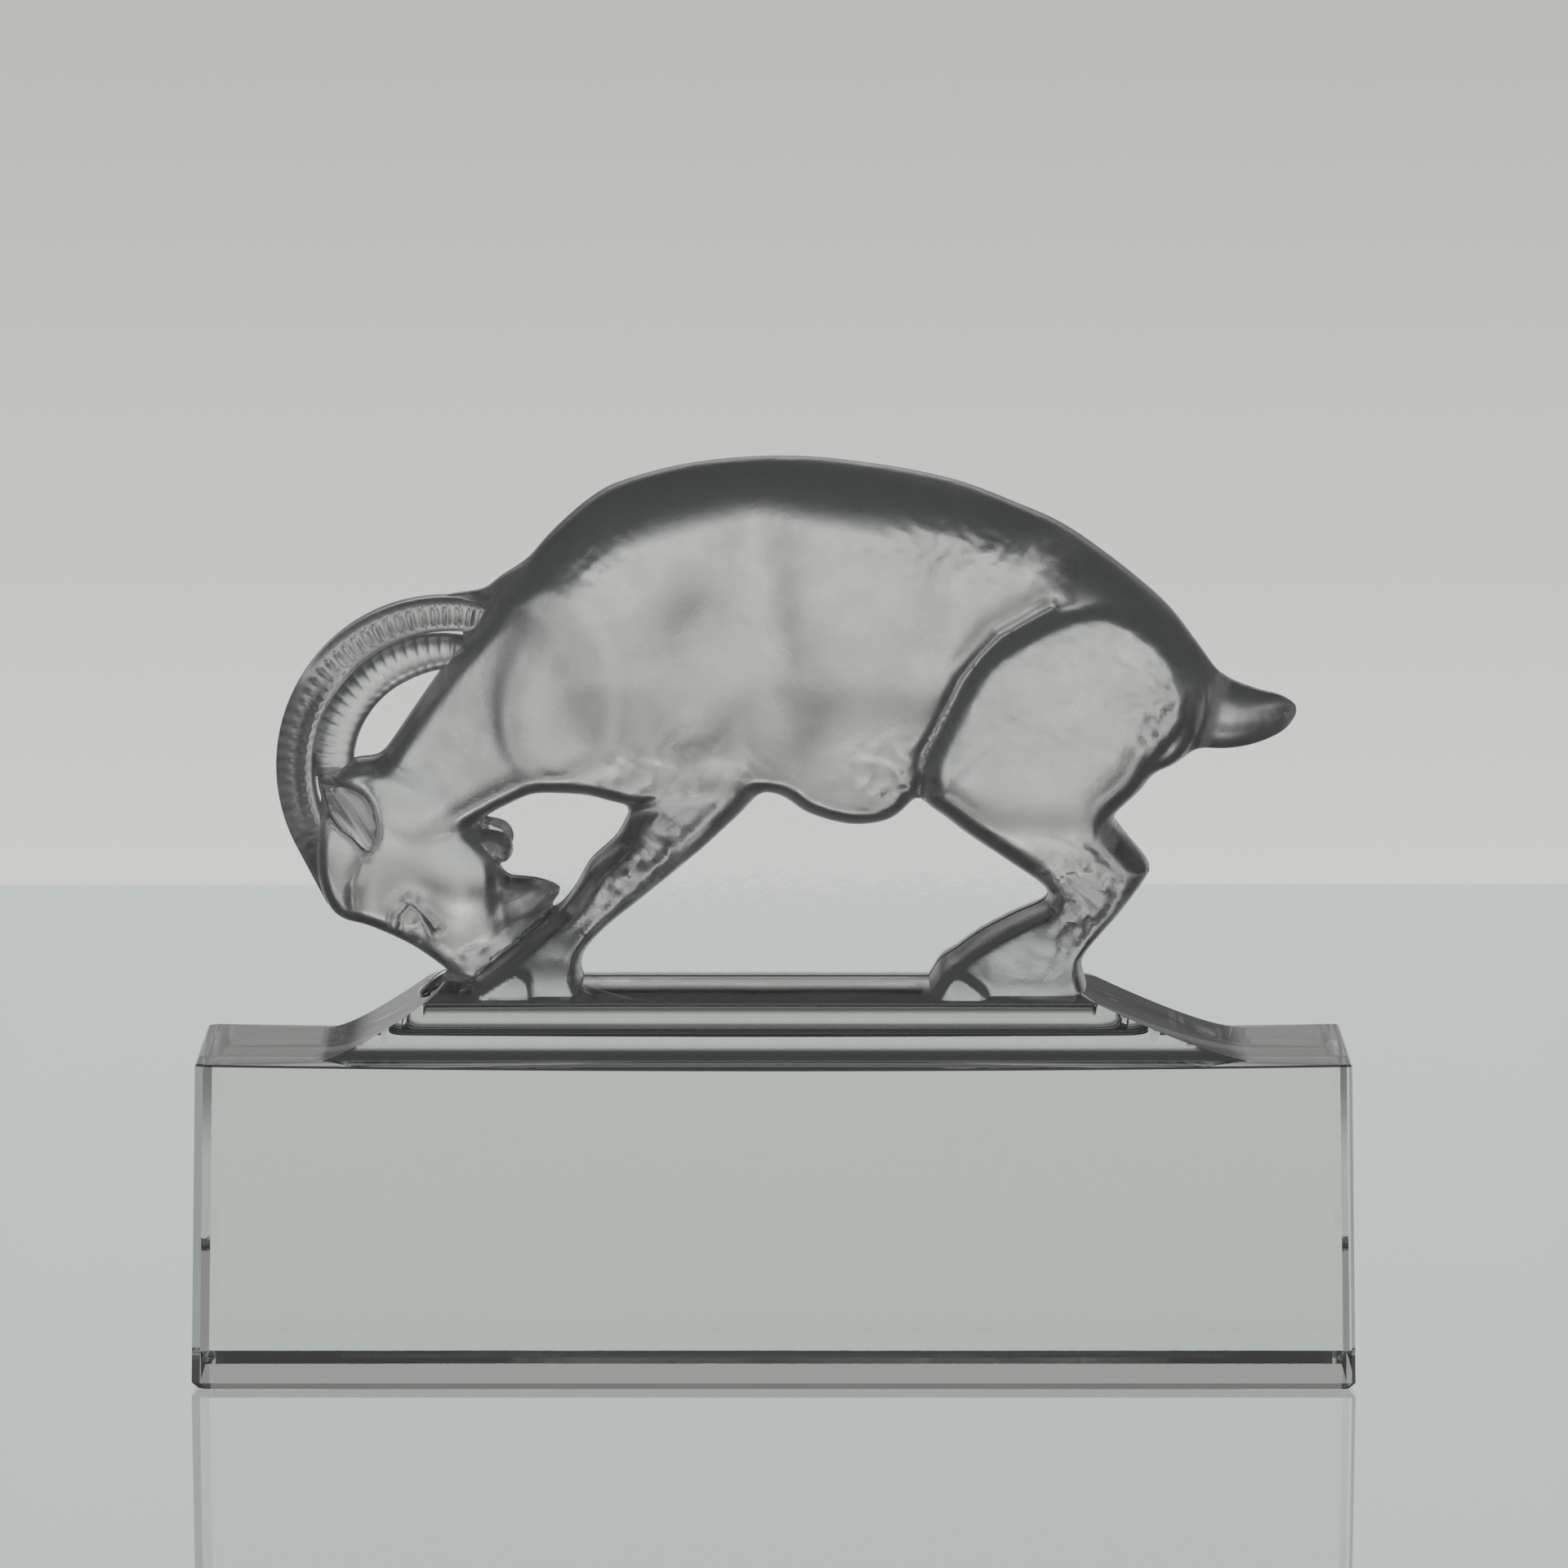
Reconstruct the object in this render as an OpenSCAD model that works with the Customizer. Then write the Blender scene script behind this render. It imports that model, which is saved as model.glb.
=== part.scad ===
// Mascot in pressed glass: an ibex with its head lowered to butt, standing on a heavy block.
// One glass pressing, held here as its named regions, which meet face to face.
// Frame: +X towards the tail, +Y away from the near side, +Z up, origin under the block's middle.

/* [Block] */
// Length of the block at its foot
block_l = 105; // [98:0.5:120]
// Depth of the block, front face to back face
block_d = 33; // [30:0.5:44]
// Height of the block
block_h = 29.5; // [20:0.5:40]
// Mould draft of each end face, foot to top
end_draft = 0.4; // [0.1:0.1:1.2]
// Polished chamfer round the foot
foot_chamfer = 0.6; // [0.2:0.1:1.5]
// Polished chamfer on the upright edges
upright_chamfer = 0.6; // [0.2:0.1:1.5]

/* [Saddle] */
// Depth of the saddle, front wall to back wall
saddle_d = 25; // [24:0.5:28]
// Height of the saddle's long arris above the block
saddle_h = 5.1; // [4:0.1:5.4]
// Extra height of the saddle along its middle
crown_h = 1.2; // [0.6:0.1:1.4]
// Horn end of the saddle's top
saddle_x0 = -29.8; // [-31:0.1:-29]
// Tail end of the saddle's top
saddle_x1 = 26.6; // [26:0.1:29]
// Length of the concave sweep at the horn end
sweep_0 = 11.5; // [8:0.5:14]
// Length of the concave sweep at the tail end
sweep_1 = 17; // [12:0.5:18]
// Fillet where the saddle meets the block's flat ledge
ledge_fillet = 1.4; // [0.6:0.1:2]

/* [Figure] */
// Half thickness of the trunk at the ribs
rib_y = 10; // [8:0.5:11]
// Half thickness of the trunk at shoulder and haunch
haunch_y = 11; // [9:0.5:11.5]
// Half thickness of the neck at its root
neck_y = 8.5; // [7:0.5:9.5]
// Half thickness of the skull
skull_y = 5.6; // [4.5:0.1:6.5]
// Distance of a foreleg's middle line from the mid-plane
foreleg_y = 7; // [5.5:0.1:7.5]
// Distance of a hind leg's middle line from the mid-plane
hind_leg_y = 7.4; // [6:0.1:7.8]
// Thickness of the clear webs between the limbs
web_t = 2; // [1.4:0.1:3]

/* [Horns] */
// Outer radius of the horns' round curl
curl_r = 15.7; // [15:0.1:16]
// Radial width of the outer horn
outer_horn_w = 3.5; // [3:0.1:4]
// Radial width of the inner horn
inner_horn_w = 3; // [2.5:0.1:3.2]
// Half thickness of the outer horn
outer_horn_y = 4; // [3:0.1:4.5]
// Half thickness of the inner horn
inner_horn_y = 3; // [2.4:0.1:3.6]

/* [Hidden] */

cut = 60;                       // reach of a cutting prism, past every solid
tiny = 0.01;                    // thickness of a disc that only spans a hull
curl_c = [-29.5, 25.5];         // centre of the horns' curl, above the block's top
horn_joint_r = curl_r - outer_horn_w;
horn_inner_r = horn_joint_r - inner_horn_w;
horn_edge = 0.9;                // rounding of a horn's long edges
satin = [0.76, 0.78, 0.75];
clear = [0.84, 0.88, 0.87];

// Outlines in X and Z, Z counted from the block's top
neck_cut = [[-24.5, 46], [-23, 36], [-19.2, 28.5], [-18.2, 18]];
neck_side = concat(neck_cut, [[-60, 18], [-60, 46]]);
trunk_side = concat(neck_cut, [[60, 18], [60, 60], [-24.5, 60]]);
fore_leg_zone = [
    [-13.2, 21.6], [-10.5, 26.5], [-5, 27.5], [-1.4, 23.4], [-5, 8], [-14, 2],
    [-34, 2], [-30, 7.4], [-19, 13.2]
];
hind_leg_zone = [
    [12.8, 23.4], [15, 30.5], [18, 35.7], [22.6, 38.8], [28, 40.4], [32.5, 38], [35.6, 33.5],
    [36.6, 30], [36.9, 28], [40, 25.5], [38, 12], [29, 2], [12, 2], [12.5, 8], [20, 12]
];
head_zone = [
    [-42, 27], [-38, 26.3], [-34.8, 25], [-27, 20.4], [-24.6, 17.5], [-24.4, 9], [-26.5, 3],
    [-34, 3], [-45, 10], [-46, 18]
];

// A prism over an outline, between two depths
module prism(outline, y0 = -cut, y1 = cut)
    rotate([90, 0, 0])
        translate([0, 0, -y1])
            linear_extrude(y1 - y0)
                polygon(outline);

// An egg-shaped lump of glass: middle and half sizes
module lump(middle, half)
    translate(middle)
        scale(half)
            sphere(r = 1, $fn = 32);

// One station of a moulded limb: round outside, solid to the mid-plane
module station(x, z, r, y) {
    translate([x, -y, z])
        sphere(r = r, $fn = 20);
    translate([x, 0, z])
        rotate([90, 0, 0])
            cylinder(r = r, h = tiny, $fn = 20);
}

// A near limb run through its stations: [x, z, radius, distance from the mid-plane]
module limb(stations)
    for (i = [0 : len(stations) - 2])
        hull() {
            station(stations[i][0], stations[i][1], stations[i][2], stations[i][3]);
            station(stations[i + 1][0], stations[i + 1][1], stations[i + 1][2], stations[i + 1][3]);
        }

// Everything of the near or the far side only
module near_half()
    intersection() {
        children();
        translate([-cut, -cut, -cut])
            cube([2 * cut, cut, 2 * cut]);
    }

module far_half()
    mirror([0, 1, 0])
        near_half()
            children();

// Concave sweep from the end of the saddle's top down to the ledge, steep first and then flat
function sweep_points(x, run) = [
    for (i = [0 : 12])
        let (left = 1 - i / 12)
        [x + run * (1 - (left + pow(left, 2)) / 2), (saddle_h + crown_h) * pow(left, 2)]
];
function reversed(list) = [for (i = [len(list) - 1 : -1 : 0]) list[i]];

module saddle_side_outline()
    polygon(concat(sweep_points(saddle_x0, -sweep_0), reversed(sweep_points(saddle_x1, sweep_1))));

// Saddle's cross-section: upright walls on a small fillet, top crowned along the middle
module saddle_section() {
    crown_r = (pow(saddle_d / 2, 2) + pow(crown_h, 2)) / (2 * crown_h);
    intersection() {
        translate([-saddle_d / 2, 0])
            square([saddle_d, saddle_h + crown_h]);
        translate([0, saddle_h + crown_h - crown_r])
            circle(r = crown_r, $fn = 180);
    }
    for (side = [-1, 1])
        difference() {
            translate([side * (saddle_d + ledge_fillet) / 2 - ledge_fillet / 2, 0])
                square([ledge_fillet, ledge_fillet]);
            translate([side * (saddle_d / 2 + ledge_fillet), ledge_fillet])
                circle(r = ledge_fillet, $fn = 48);
        }
}

module saddle_form()
    intersection() {
        rotate([90, 0, 0])
            translate([0, 0, -cut])
                linear_extrude(2 * cut)
                    saddle_side_outline();
        rotate([90, 0, 90])
            translate([0, 0, -cut])
                linear_extrude(2 * cut)
                    saddle_section();
    }

// Flat-sided section of a horn, its edges rounded, at its radius in the curl
module horn_section(r0, r1, half_y)
    translate([r0 + horn_edge, -half_y + horn_edge])
        minkowski() {
            square([r1 - r0 - 2 * horn_edge, 2 * (half_y - horn_edge)]);
            circle(r = horn_edge, $fn = 24);
        }

module horn_arc(r0, r1, half_y, from, to)
    translate([curl_c.x, 0, curl_c.y])
        rotate([90, 0, 0])
            rotate([0, 0, from])
                rotate_extrude(angle = to - from, $fn = 120)
                    horn_section(r0, r1, half_y);

// Points round the curl, for outlines that follow it
function curl_points(r, from, to) = [
    for (i = [0 : 16])
        let (a = from + (to - from) * i / 16)
        [curl_c.x + r * cos(a), curl_c.y + r * sin(a)]
];

module outer_horn_form()
    difference() {
        union() {
            horn_arc(horn_joint_r, curl_r, outer_horn_y, 55, 208);
            // Root of the horn, run down on to the forehead
            prism([
                curl_points(curl_r, 205, 208)[0], [-43.3, 18.1], [-41.2, 12.7], [-39.6, 11.8],
                [-39.2, 12.4], [-39.4, 16.5], curl_points(horn_joint_r, 205, 208)[0]
            ], -outer_horn_y, outer_horn_y);
        }
        prism(trunk_side);
    }

module inner_horn_form()
    horn_arc(horn_inner_r, horn_joint_r, inner_horn_y, 66, 177);

// All that lies outside the curl, where neither neck nor head may stand
module past_curl()
    prism(concat(curl_points(curl_r, 215, 55), [[-20, 60], [-60, 60], [-60, 10]]));

module trunk_form()
    hull() {
        lump([-15.6, 0, 38.6], [9.6, haunch_y - 1.5, 11]);
        lump([-10.5, 0, 37.6], [11.5, haunch_y - 0.5, 14.7]);
        lump([2, 0, 37], [13, rib_y, 16.7]);
        lump([15, 0, 38], [11, rib_y - 0.5, 13.7]);
        lump([26.5, 0, 33.2], [13, haunch_y - 1, 14.2]);
    }

module neck_form()
    hull() {
        lump([-21, 0, 33.4], [6, neck_y, 9.4]);
        lump([-27.4, 0, 28.6], [5.4, neck_y - 1.5, 7.4]);
        lump([-33.4, 0, 23.8], [4.6, skull_y - 0.4, 5.4]);
    }

module head_form()
    hull() {
        lump([-33.8, 0, 19.5], [6.6, skull_y, 6.4]);
        lump([-30, 0, 16], [5.6, skull_y, 6]);
        lump([-33, 0, 14], [6.2, skull_y - 0.6, 4.4]);
        lump([-27.3, 0, 9.6], [3, skull_y - 1.8, 3.2]);
    }

module block() {
    slope = end_draft / block_h;
    c = foot_chamfer;
    u = upright_chamfer;
    color(clear)
        intersection() {
            prism([
                [-block_l / 2 + c, 0], [block_l / 2 - c, 0], [block_l / 2 - slope * c, c],
                [block_l / 2 - end_draft, block_h], [-block_l / 2 + end_draft, block_h],
                [-block_l / 2 + slope * c, c]
            ]);
            rotate([90, 0, 90])
                translate([0, 0, -cut])
                    linear_extrude(2 * cut + block_l)
                        polygon([
                            [-block_d / 2 + c, 0], [block_d / 2 - c, 0], [block_d / 2, c],
                            [block_d / 2, block_h], [-block_d / 2, block_h], [-block_d / 2, c]
                        ]);
            linear_extrude(block_h)
                polygon([
                    [-block_l / 2 + u, -block_d / 2], [block_l / 2 - u, -block_d / 2],
                    [block_l / 2, -block_d / 2 + u], [block_l / 2, block_d / 2 - u],
                    [block_l / 2 - u, block_d / 2], [-block_l / 2 + u, block_d / 2],
                    [-block_l / 2, block_d / 2 - u], [-block_l / 2, -block_d / 2 + u]
                ]);
        }
}

module saddle()
    color(clear)
        translate([0, 0, block_h])
            saddle_form();

module trunk()
    color(satin)
        translate([0, 0, block_h])
            difference() {
                trunk_form();
                prism(neck_side);
                prism(fore_leg_zone);
                prism(hind_leg_zone);
            }

module neck()
    color(satin)
        translate([0, 0, block_h])
            difference() {
                intersection() {
                    neck_form();
                    prism(neck_side);
                }
                prism(head_zone);
                outer_horn_form();
                inner_horn_form();
                past_curl();
            }

module head()
    color(satin)
        translate([0, 0, block_h])
            difference() {
                intersection() {
                    head_form();
                    prism(head_zone);
                }
                outer_horn_form();
                inner_horn_form();
            }

module outer_horn()
    color(satin)
        translate([0, 0, block_h])
            outer_horn_form();

module inner_horn()
    color(satin)
        translate([0, 0, block_h])
            difference() {
                inner_horn_form();
                prism(trunk_side);
            }

// Leaf-shaped ear laid against the side of the skull
module ear_form()
    hull() {
        lump([-36.6, -skull_y - 0.1, 18.6], [0.9, 1, 0.9]);
        lump([-38.2, -skull_y + 0.4, 21.8], [1.9, 1.3, 1.9]);
        lump([-40.4, -skull_y + 1.6, 24.2], [0.5, 0.9, 0.5]);
    }

module near_ear_solid()
    difference() {
        ear_form();
        intersection() {
            head_form();
            prism(head_zone);
        }
        outer_horn_form();
    }

module near_ear()
    color(satin)
        translate([0, 0, block_h])
            near_ear_solid();

module far_ear()
    color(satin)
        translate([0, 0, block_h])
            mirror([0, 1, 0])
                near_ear_solid();

module beard_form()
    prism([
        [-24.4, 15.3], [-22, 15.2], [-19.4, 14.4], [-20.2, 13], [-21.2, 11.4], [-24.4, 9.2]
    ], -1.7, 1.7);

module beard()
    color(satin)
        translate([0, 0, block_h])
            beard_form();

// Drop-shaped wattle on the side of the throat
module wattle_form()
    hull() {
        lump([-25.2, -2.6, 18.2], [1, 1.4, 1]);
        lump([-23.8, -2.6, 17.6], [1.3, 1.6, 1.5]);
    }

module near_wattle_solid()
    difference() {
        wattle_form();
        prism(head_zone);
        translate([-cut, -web_t / 2, -cut])
            cube(2 * cut);
        neck_form();
    }

module near_wattle()
    color(satin)
        translate([0, 0, block_h])
            near_wattle_solid();

module far_wattle()
    color(satin)
        translate([0, 0, block_h])
            mirror([0, 1, 0])
                near_wattle_solid();

// Foreleg from elbow to hoof
module foreleg_form()
    intersection() {
        difference() {
            union() {
                limb([
                    [-6.6, 24.5, 5.6, foreleg_y - 1.6],
                    [-10.2, 18.4, 3.2, foreleg_y],
                    [-15.4, 13, 2, foreleg_y],
                    [-21.2, 9.2, 1.7, foreleg_y]
                ]);
                hull() {
                    translate([-23.6, -foreleg_y - 1.6, 6.6])
                        scale([1, 1, 0.8])
                            sphere(r = 2.2, $fn = 20);
                    translate([-27.4, -foreleg_y - 1.8, 5])
                        sphere(r = 0.8, $fn = 20);
                    translate([-21.2, -foreleg_y, 9.2])
                        sphere(r = 1.7, $fn = 20);
                }
            }
            saddle_form();
        }
        prism(fore_leg_zone);
    }

module near_foreleg()
    color(satin)
        translate([0, 0, block_h])
            near_half()
                foreleg_form();

module far_foreleg()
    color(satin)
        translate([0, 0, block_h])
            far_half()
                foreleg_form();

// Haunch, hock and hoof in one
module hind_leg_form()
    intersection() {
        difference() {
            union() {
                hull() {
                    lump([25.6, 0, 32], [12, haunch_y, 12]);
                    lump([21.5, 0, 28], [8.6, haunch_y - 1, 8]);
                    station(26.4, 20.4, 4.6, hind_leg_y - 1);
                }
                limb([
                    [26.4, 20.4, 4.6, hind_leg_y - 1],
                    [30, 15.6, 3.4, hind_leg_y],
                    [25.6, 10.8, 2.3, hind_leg_y],
                    [20.6, 7.8, 1.9, hind_leg_y]
                ]);
                hull() {
                    translate([18, -hind_leg_y - 1.4, 6.4])
                        scale([1, 1, 0.8])
                            sphere(r = 2.1, $fn = 20);
                    translate([14.6, -hind_leg_y - 1.6, 5])
                        sphere(r = 0.8, $fn = 20);
                    translate([20.6, -hind_leg_y, 7.8])
                        sphere(r = 1.9, $fn = 20);
                }
            }
            saddle_form();
        }
        prism(hind_leg_zone);
    }

module near_hind_leg()
    color(satin)
        translate([0, 0, block_h])
            near_half()
                hind_leg_form();

module far_hind_leg()
    color(satin)
        translate([0, 0, block_h])
            far_half()
                hind_leg_form();

module tail()
    color(satin)
        translate([0, 0, block_h])
            difference() {
                hull() {
                    lump([38, 0, 30.8], [3, 4, 4]);
                    lump([43, 0, 30], [2.4, 3, 2.6]);
                    lump([46.4, 0, 30.2], [1.5, 2, 1.5]);
                }
                trunk_form();
                prism(hind_leg_zone);
            }

module web(outline)
    color(clear)
        translate([0, 0, block_h])
            difference() {
                prism(outline, -web_t / 2, web_t / 2);
                children();
            }

module belly_web()
    web([
        [-19, 4], [-10, 14], [-1.4, 23.2], [1, 28], [12, 28], [12.8, 23.4], [20, 16.5], [24, 14],
        [20, 8], [16, 4]
    ]) {
        saddle_form();
        trunk_form();
        foreleg_form();
        mirror([0, 1, 0])
            foreleg_form();
        hind_leg_form();
    }

module throat_web()
    web([
        [-24.4, 6], [-24.4, 17.5], [-26.8, 20.2], [-24, 26], [-15, 26], [-12, 22], [-18, 11]
    ]) {
        saddle_form();
        trunk_form();
        neck_form();
        beard_form();
        foreleg_form();
        mirror([0, 1, 0])
            foreleg_form();
        prism(head_zone);
    }

module horn_web()
    web(concat(
        curl_points(horn_inner_r, 90, 177),
        [[-38, 26.3], [-34.8, 25], [-30, 27], [-27, 33]]
    )) {
        neck_form();
        prism(head_zone);
        inner_horn_form();
    }

// Short stub that ties the muzzle to the end of the saddle
module muzzle_bridge()
    color(clear)
        translate([0, 0, block_h])
            difference() {
                prism([
                    [-31.2, 5], [-31.1, 6], [-30.2, 6.7], [-29.3, 7], [-24.6, 7], [-24.6, 5]
                ], -3, 3);
                saddle_form();
                intersection() {
                    head_form();
                    prism(head_zone);
                }
                foreleg_form();
                mirror([0, 1, 0])
                    foreleg_form();
            }

block();
saddle();
trunk();
neck();
head();
outer_horn();
inner_horn();
near_ear();
far_ear();
beard();
near_wattle();
far_wattle();
near_foreleg();
far_foreleg();
near_hind_leg();
far_hind_leg();
tail();
belly_web();
throat_web();
horn_web();
muzzle_bridge();
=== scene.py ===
import bpy
import math
import numpy as np
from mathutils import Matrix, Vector
from mathutils.bvhtree import BVHTree
from mathutils.interpolate import poly_3d_calc


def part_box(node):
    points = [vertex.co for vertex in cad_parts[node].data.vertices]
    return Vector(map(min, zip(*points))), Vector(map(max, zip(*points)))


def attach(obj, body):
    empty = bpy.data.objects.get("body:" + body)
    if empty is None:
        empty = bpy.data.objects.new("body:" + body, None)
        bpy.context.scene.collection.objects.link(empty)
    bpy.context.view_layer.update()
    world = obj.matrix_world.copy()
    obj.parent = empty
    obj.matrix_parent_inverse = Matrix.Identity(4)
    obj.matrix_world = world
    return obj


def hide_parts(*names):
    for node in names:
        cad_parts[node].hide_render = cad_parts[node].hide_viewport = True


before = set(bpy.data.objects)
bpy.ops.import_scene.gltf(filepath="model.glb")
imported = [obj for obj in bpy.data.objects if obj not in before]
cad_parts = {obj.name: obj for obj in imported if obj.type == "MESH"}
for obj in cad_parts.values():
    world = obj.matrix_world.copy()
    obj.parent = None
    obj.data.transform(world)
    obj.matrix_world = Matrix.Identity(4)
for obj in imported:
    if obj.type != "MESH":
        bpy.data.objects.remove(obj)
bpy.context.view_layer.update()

# ---------------------------------------------------------------------------------------------
# BLOCK. The heavy oblong base: clear glass, pressed with a little draft on its ends, then ground
# and polished, so its faces are flat and its arrises thin bright bevels. The long top edges have
# slumped slightly in the mould. Sizes here and below are in millimetres until a mesh is written.
MM = 0.001
block_low, block_high = (np.array(corner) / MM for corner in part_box("block"))
saddle_low, saddle_high = (np.array(corner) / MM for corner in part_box("saddle"))
BLOCK_L, BLOCK_D, BLOCK_H = block_high - block_low
END_DRAFT = 0.4
FOOT_BEVEL = 0.6
LEDGE_BREAK = 0.18
TOP_SLUMP = 0.4
UPRIGHT_BEVEL = {"horn": 0.75, "tail": 0.3}
GLASS_IOR = 1.5

SKIN, JOINT = 0, 1                  # a piece's materials: its own surface, and cuts inside the glass


def mesh_object(name, points, faces, skins):
    """Makes a mesh from millimetre points; skins holds one material index for each face."""
    mesh = bpy.data.meshes.new(name)
    mesh.from_pydata((np.array(points) * MM).tolist(), [], [list(map(int, f)) for f in faces])
    mesh.polygons.foreach_set("material_index", skins)
    mesh.shade_smooth()
    mesh.update()
    piece = bpy.data.objects.new(name, mesh)
    bpy.context.scene.collection.objects.link(piece)
    return piece


def rectangle_loop(low, high, bevels, per_side=24):
    """Points round a level rectangle, its corners bevelled by the horn end's and tail end's size."""
    corners = [(low[0], low[1]), (high[0], low[1]), (high[0], high[1]), (low[0], high[1])]
    sizes = [bevels["horn"], bevels["tail"], bevels["tail"], bevels["horn"]]
    loop = []
    for k in range(4):
        a, b = np.array(corners[k]), np.array(corners[(k + 1) % 4])
        along = (b - a) / np.linalg.norm(b - a)
        a, b = a + along * sizes[k], b - along * sizes[(k + 1) % 4]
        loop += [a + (b - a) * t for t in np.linspace(0, 1, per_side)]
    return np.array(loop)


def stack_rings(rings):
    """Skins closed loops of equal length, first to last, and closes both ends with one face each."""
    n = len(rings[0])
    faces = [(k * n + i, k * n + (i + 1) % n, (k + 1) * n + (i + 1) % n, (k + 1) * n + i)
             for k in range(len(rings) - 1) for i in range(n)]
    last = (len(rings) - 1) * n
    return np.concatenate(rings), faces + [list(range(n))[::-1], list(range(last, last + n))]


def block_ring(inset_x, inset_y, z, slump=0.0):
    half = np.array([BLOCK_L / 2 - inset_x, BLOCK_D / 2 - inset_y])
    loop = rectangle_loop(-half, half, UPRIGHT_BEVEL)
    return np.column_stack([loop, z - slump * (1 - (loop[:, 0] / half[0]) ** 2)])


def place(nodes, kind, values=None, **settings):
    """Adds a shader node; values go to its inputs by name, as numbers or another node's output."""
    node = nodes.new(kind)
    for key, value in settings.items():
        setattr(node, key, value)
    for key, value in (values or {}).items():
        if isinstance(value, bpy.types.NodeSocket):
            nodes.id_data.links.new(value, node.inputs[key])
        else:
            node.inputs[key].default_value = value
    return node


def reckon(nodes, operation, *values):
    return place(nodes, "ShaderNodeMath", dict(enumerate(values)), operation=operation).outputs[0]


def skin_group():
    """Skin of pressed glass: a slow ripple, a fine grain, and haze that comes and goes."""
    tree = bpy.data.node_groups.new("pressed_skin", "ShaderNodeTree")
    face = tree.interface
    face.new_socket("Place", in_out="INPUT", socket_type="NodeSocketVector")
    for name in ("Ripple Size", "Ripple Height", "Grain Size", "Grain Height", "Haze Low", "Haze High",
                 "Haze Size"):
        face.new_socket(name, in_out="INPUT", socket_type="NodeSocketFloat")
    face.new_socket("Haze", in_out="OUTPUT", socket_type="NodeSocketFloat")
    face.new_socket("Normal", in_out="OUTPUT", socket_type="NodeSocketVector")
    nodes = tree.nodes
    given = nodes.new("NodeGroupInput").outputs
    out = nodes.new("NodeGroupOutput")

    def cloud(size, detail, roughness):
        return place(nodes, "ShaderNodeTexNoise", {"Vector": given["Place"],
                     "Scale": reckon(nodes, "DIVIDE", 1.0, size), "Detail": detail,
                     "Roughness": roughness}).outputs[0]

    ripple = place(nodes, "ShaderNodeBump", {"Height": cloud(given["Ripple Size"], 2.0, 0.5),
                   "Distance": given["Ripple Height"], "Strength": 1.0})
    grain = place(nodes, "ShaderNodeBump", {"Height": cloud(given["Grain Size"], 3.0, 0.6),
                  "Distance": given["Grain Height"], "Strength": 1.0, "Normal": ripple.outputs[0]})
    haze = place(nodes, "ShaderNodeMapRange", {"Value": cloud(given["Haze Size"], 4.0, 0.6),
                 "From Min": 0.35, "From Max": 0.65, "To Min": given["Haze Low"],
                 "To Max": given["Haze High"]})
    tree.links.new(haze.outputs[0], out.inputs["Haze"])
    tree.links.new(grain.outputs[0], out.inputs["Normal"])
    return tree


pressed_skin = skin_group()


def glass(name, tint, **skin):
    """A clear glass with its own skin; returns the material and what its skin gives."""
    material = bpy.data.materials.new(name)
    material.use_nodes = True
    nodes = material.node_tree.nodes
    shader = nodes["Principled BSDF"]
    shader.inputs["Transmission Weight"].default_value = 1.0
    shader.inputs["IOR"].default_value = GLASS_IOR
    shader.inputs["Base Color"].default_value = (*tint, 1)
    where = place(nodes, "ShaderNodeTexCoord").outputs["Object"]
    own = place(nodes, "ShaderNodeGroup", node_tree=pressed_skin)
    material.node_tree.links.new(where, own.inputs["Place"])
    for key, value in skin.items():
        own.inputs[key.replace("_", " ").title()].default_value = value
    material.node_tree.links.new(own.outputs["Haze"], shader.inputs["Roughness"])
    material.node_tree.links.new(own.outputs["Normal"], shader.inputs["Normal"])
    return material, nodes, shader, own


polished_glass = glass("polished_glass", (0.86, 0.875, 0.85), ripple_size=0.02, ripple_height=0.00002,
                       grain_size=0.0006, grain_height=0.0000008, haze_low=0.0, haze_high=0.02,
                       haze_size=0.004)[0]
# Where two named parts of the one casting meet inside the glass, a fully clear joint hides the meeting
joint_glass = bpy.data.materials.new("joint_glass")
joint_glass.use_nodes = True
joint_glass.node_tree.nodes["Principled BSDF"].inputs["Alpha"].default_value = 0.0

side_top = BLOCK_H - LEDGE_BREAK
block_rings = [block_ring(FOOT_BEVEL, FOOT_BEVEL, 0), block_ring(0, 0, FOOT_BEVEL)]
for t in np.linspace(0.2, 1, 9):
    block_rings.append(block_ring(END_DRAFT * t, 0, FOOT_BEVEL + (side_top - FOOT_BEVEL) * t,
                                  TOP_SLUMP * t ** 8))
block_rings.append(block_ring(END_DRAFT + LEDGE_BREAK, LEDGE_BREAK, BLOCK_H, TOP_SLUMP))
under_saddle = rectangle_loop(saddle_low[:2], saddle_high[:2], {"horn": 0.02, "tail": 0.02})
block_rings.append(np.column_stack([under_saddle, np.full(len(under_saddle), BLOCK_H)]))
block_points, block_faces = stack_rings(block_rings)
block = mesh_object("block_glass", block_points, block_faces,
                    [SKIN] * (len(block_faces) - 1) + [JOINT])
block.data.set_sharp_from_angle(angle=math.radians(15))
block.data.materials.append(polished_glass)
block.data.materials.append(joint_glass)
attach(block, "root")
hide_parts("block")


# ---------------------------------------------------------------------------------------------
# SADDLE. The raised plinth that the ibex stands on, pressed in one with the block and polished:
# upright walls on a small fillet, a top crowned along the middle, and both ends swept down to the
# ledge in a hollow curve. Its form is a height over the block's top, so the mould draws it freely.
WALL_Y = 12.5
WALL_DRAFT = 0.14
ARRIS_H = 5.1
CROWN_H = 1.2
FILLET = 1.4
TOP_ENDS = {"horn": (-29.8, saddle_low[0]), "tail": (26.6, saddle_high[0])}


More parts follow.
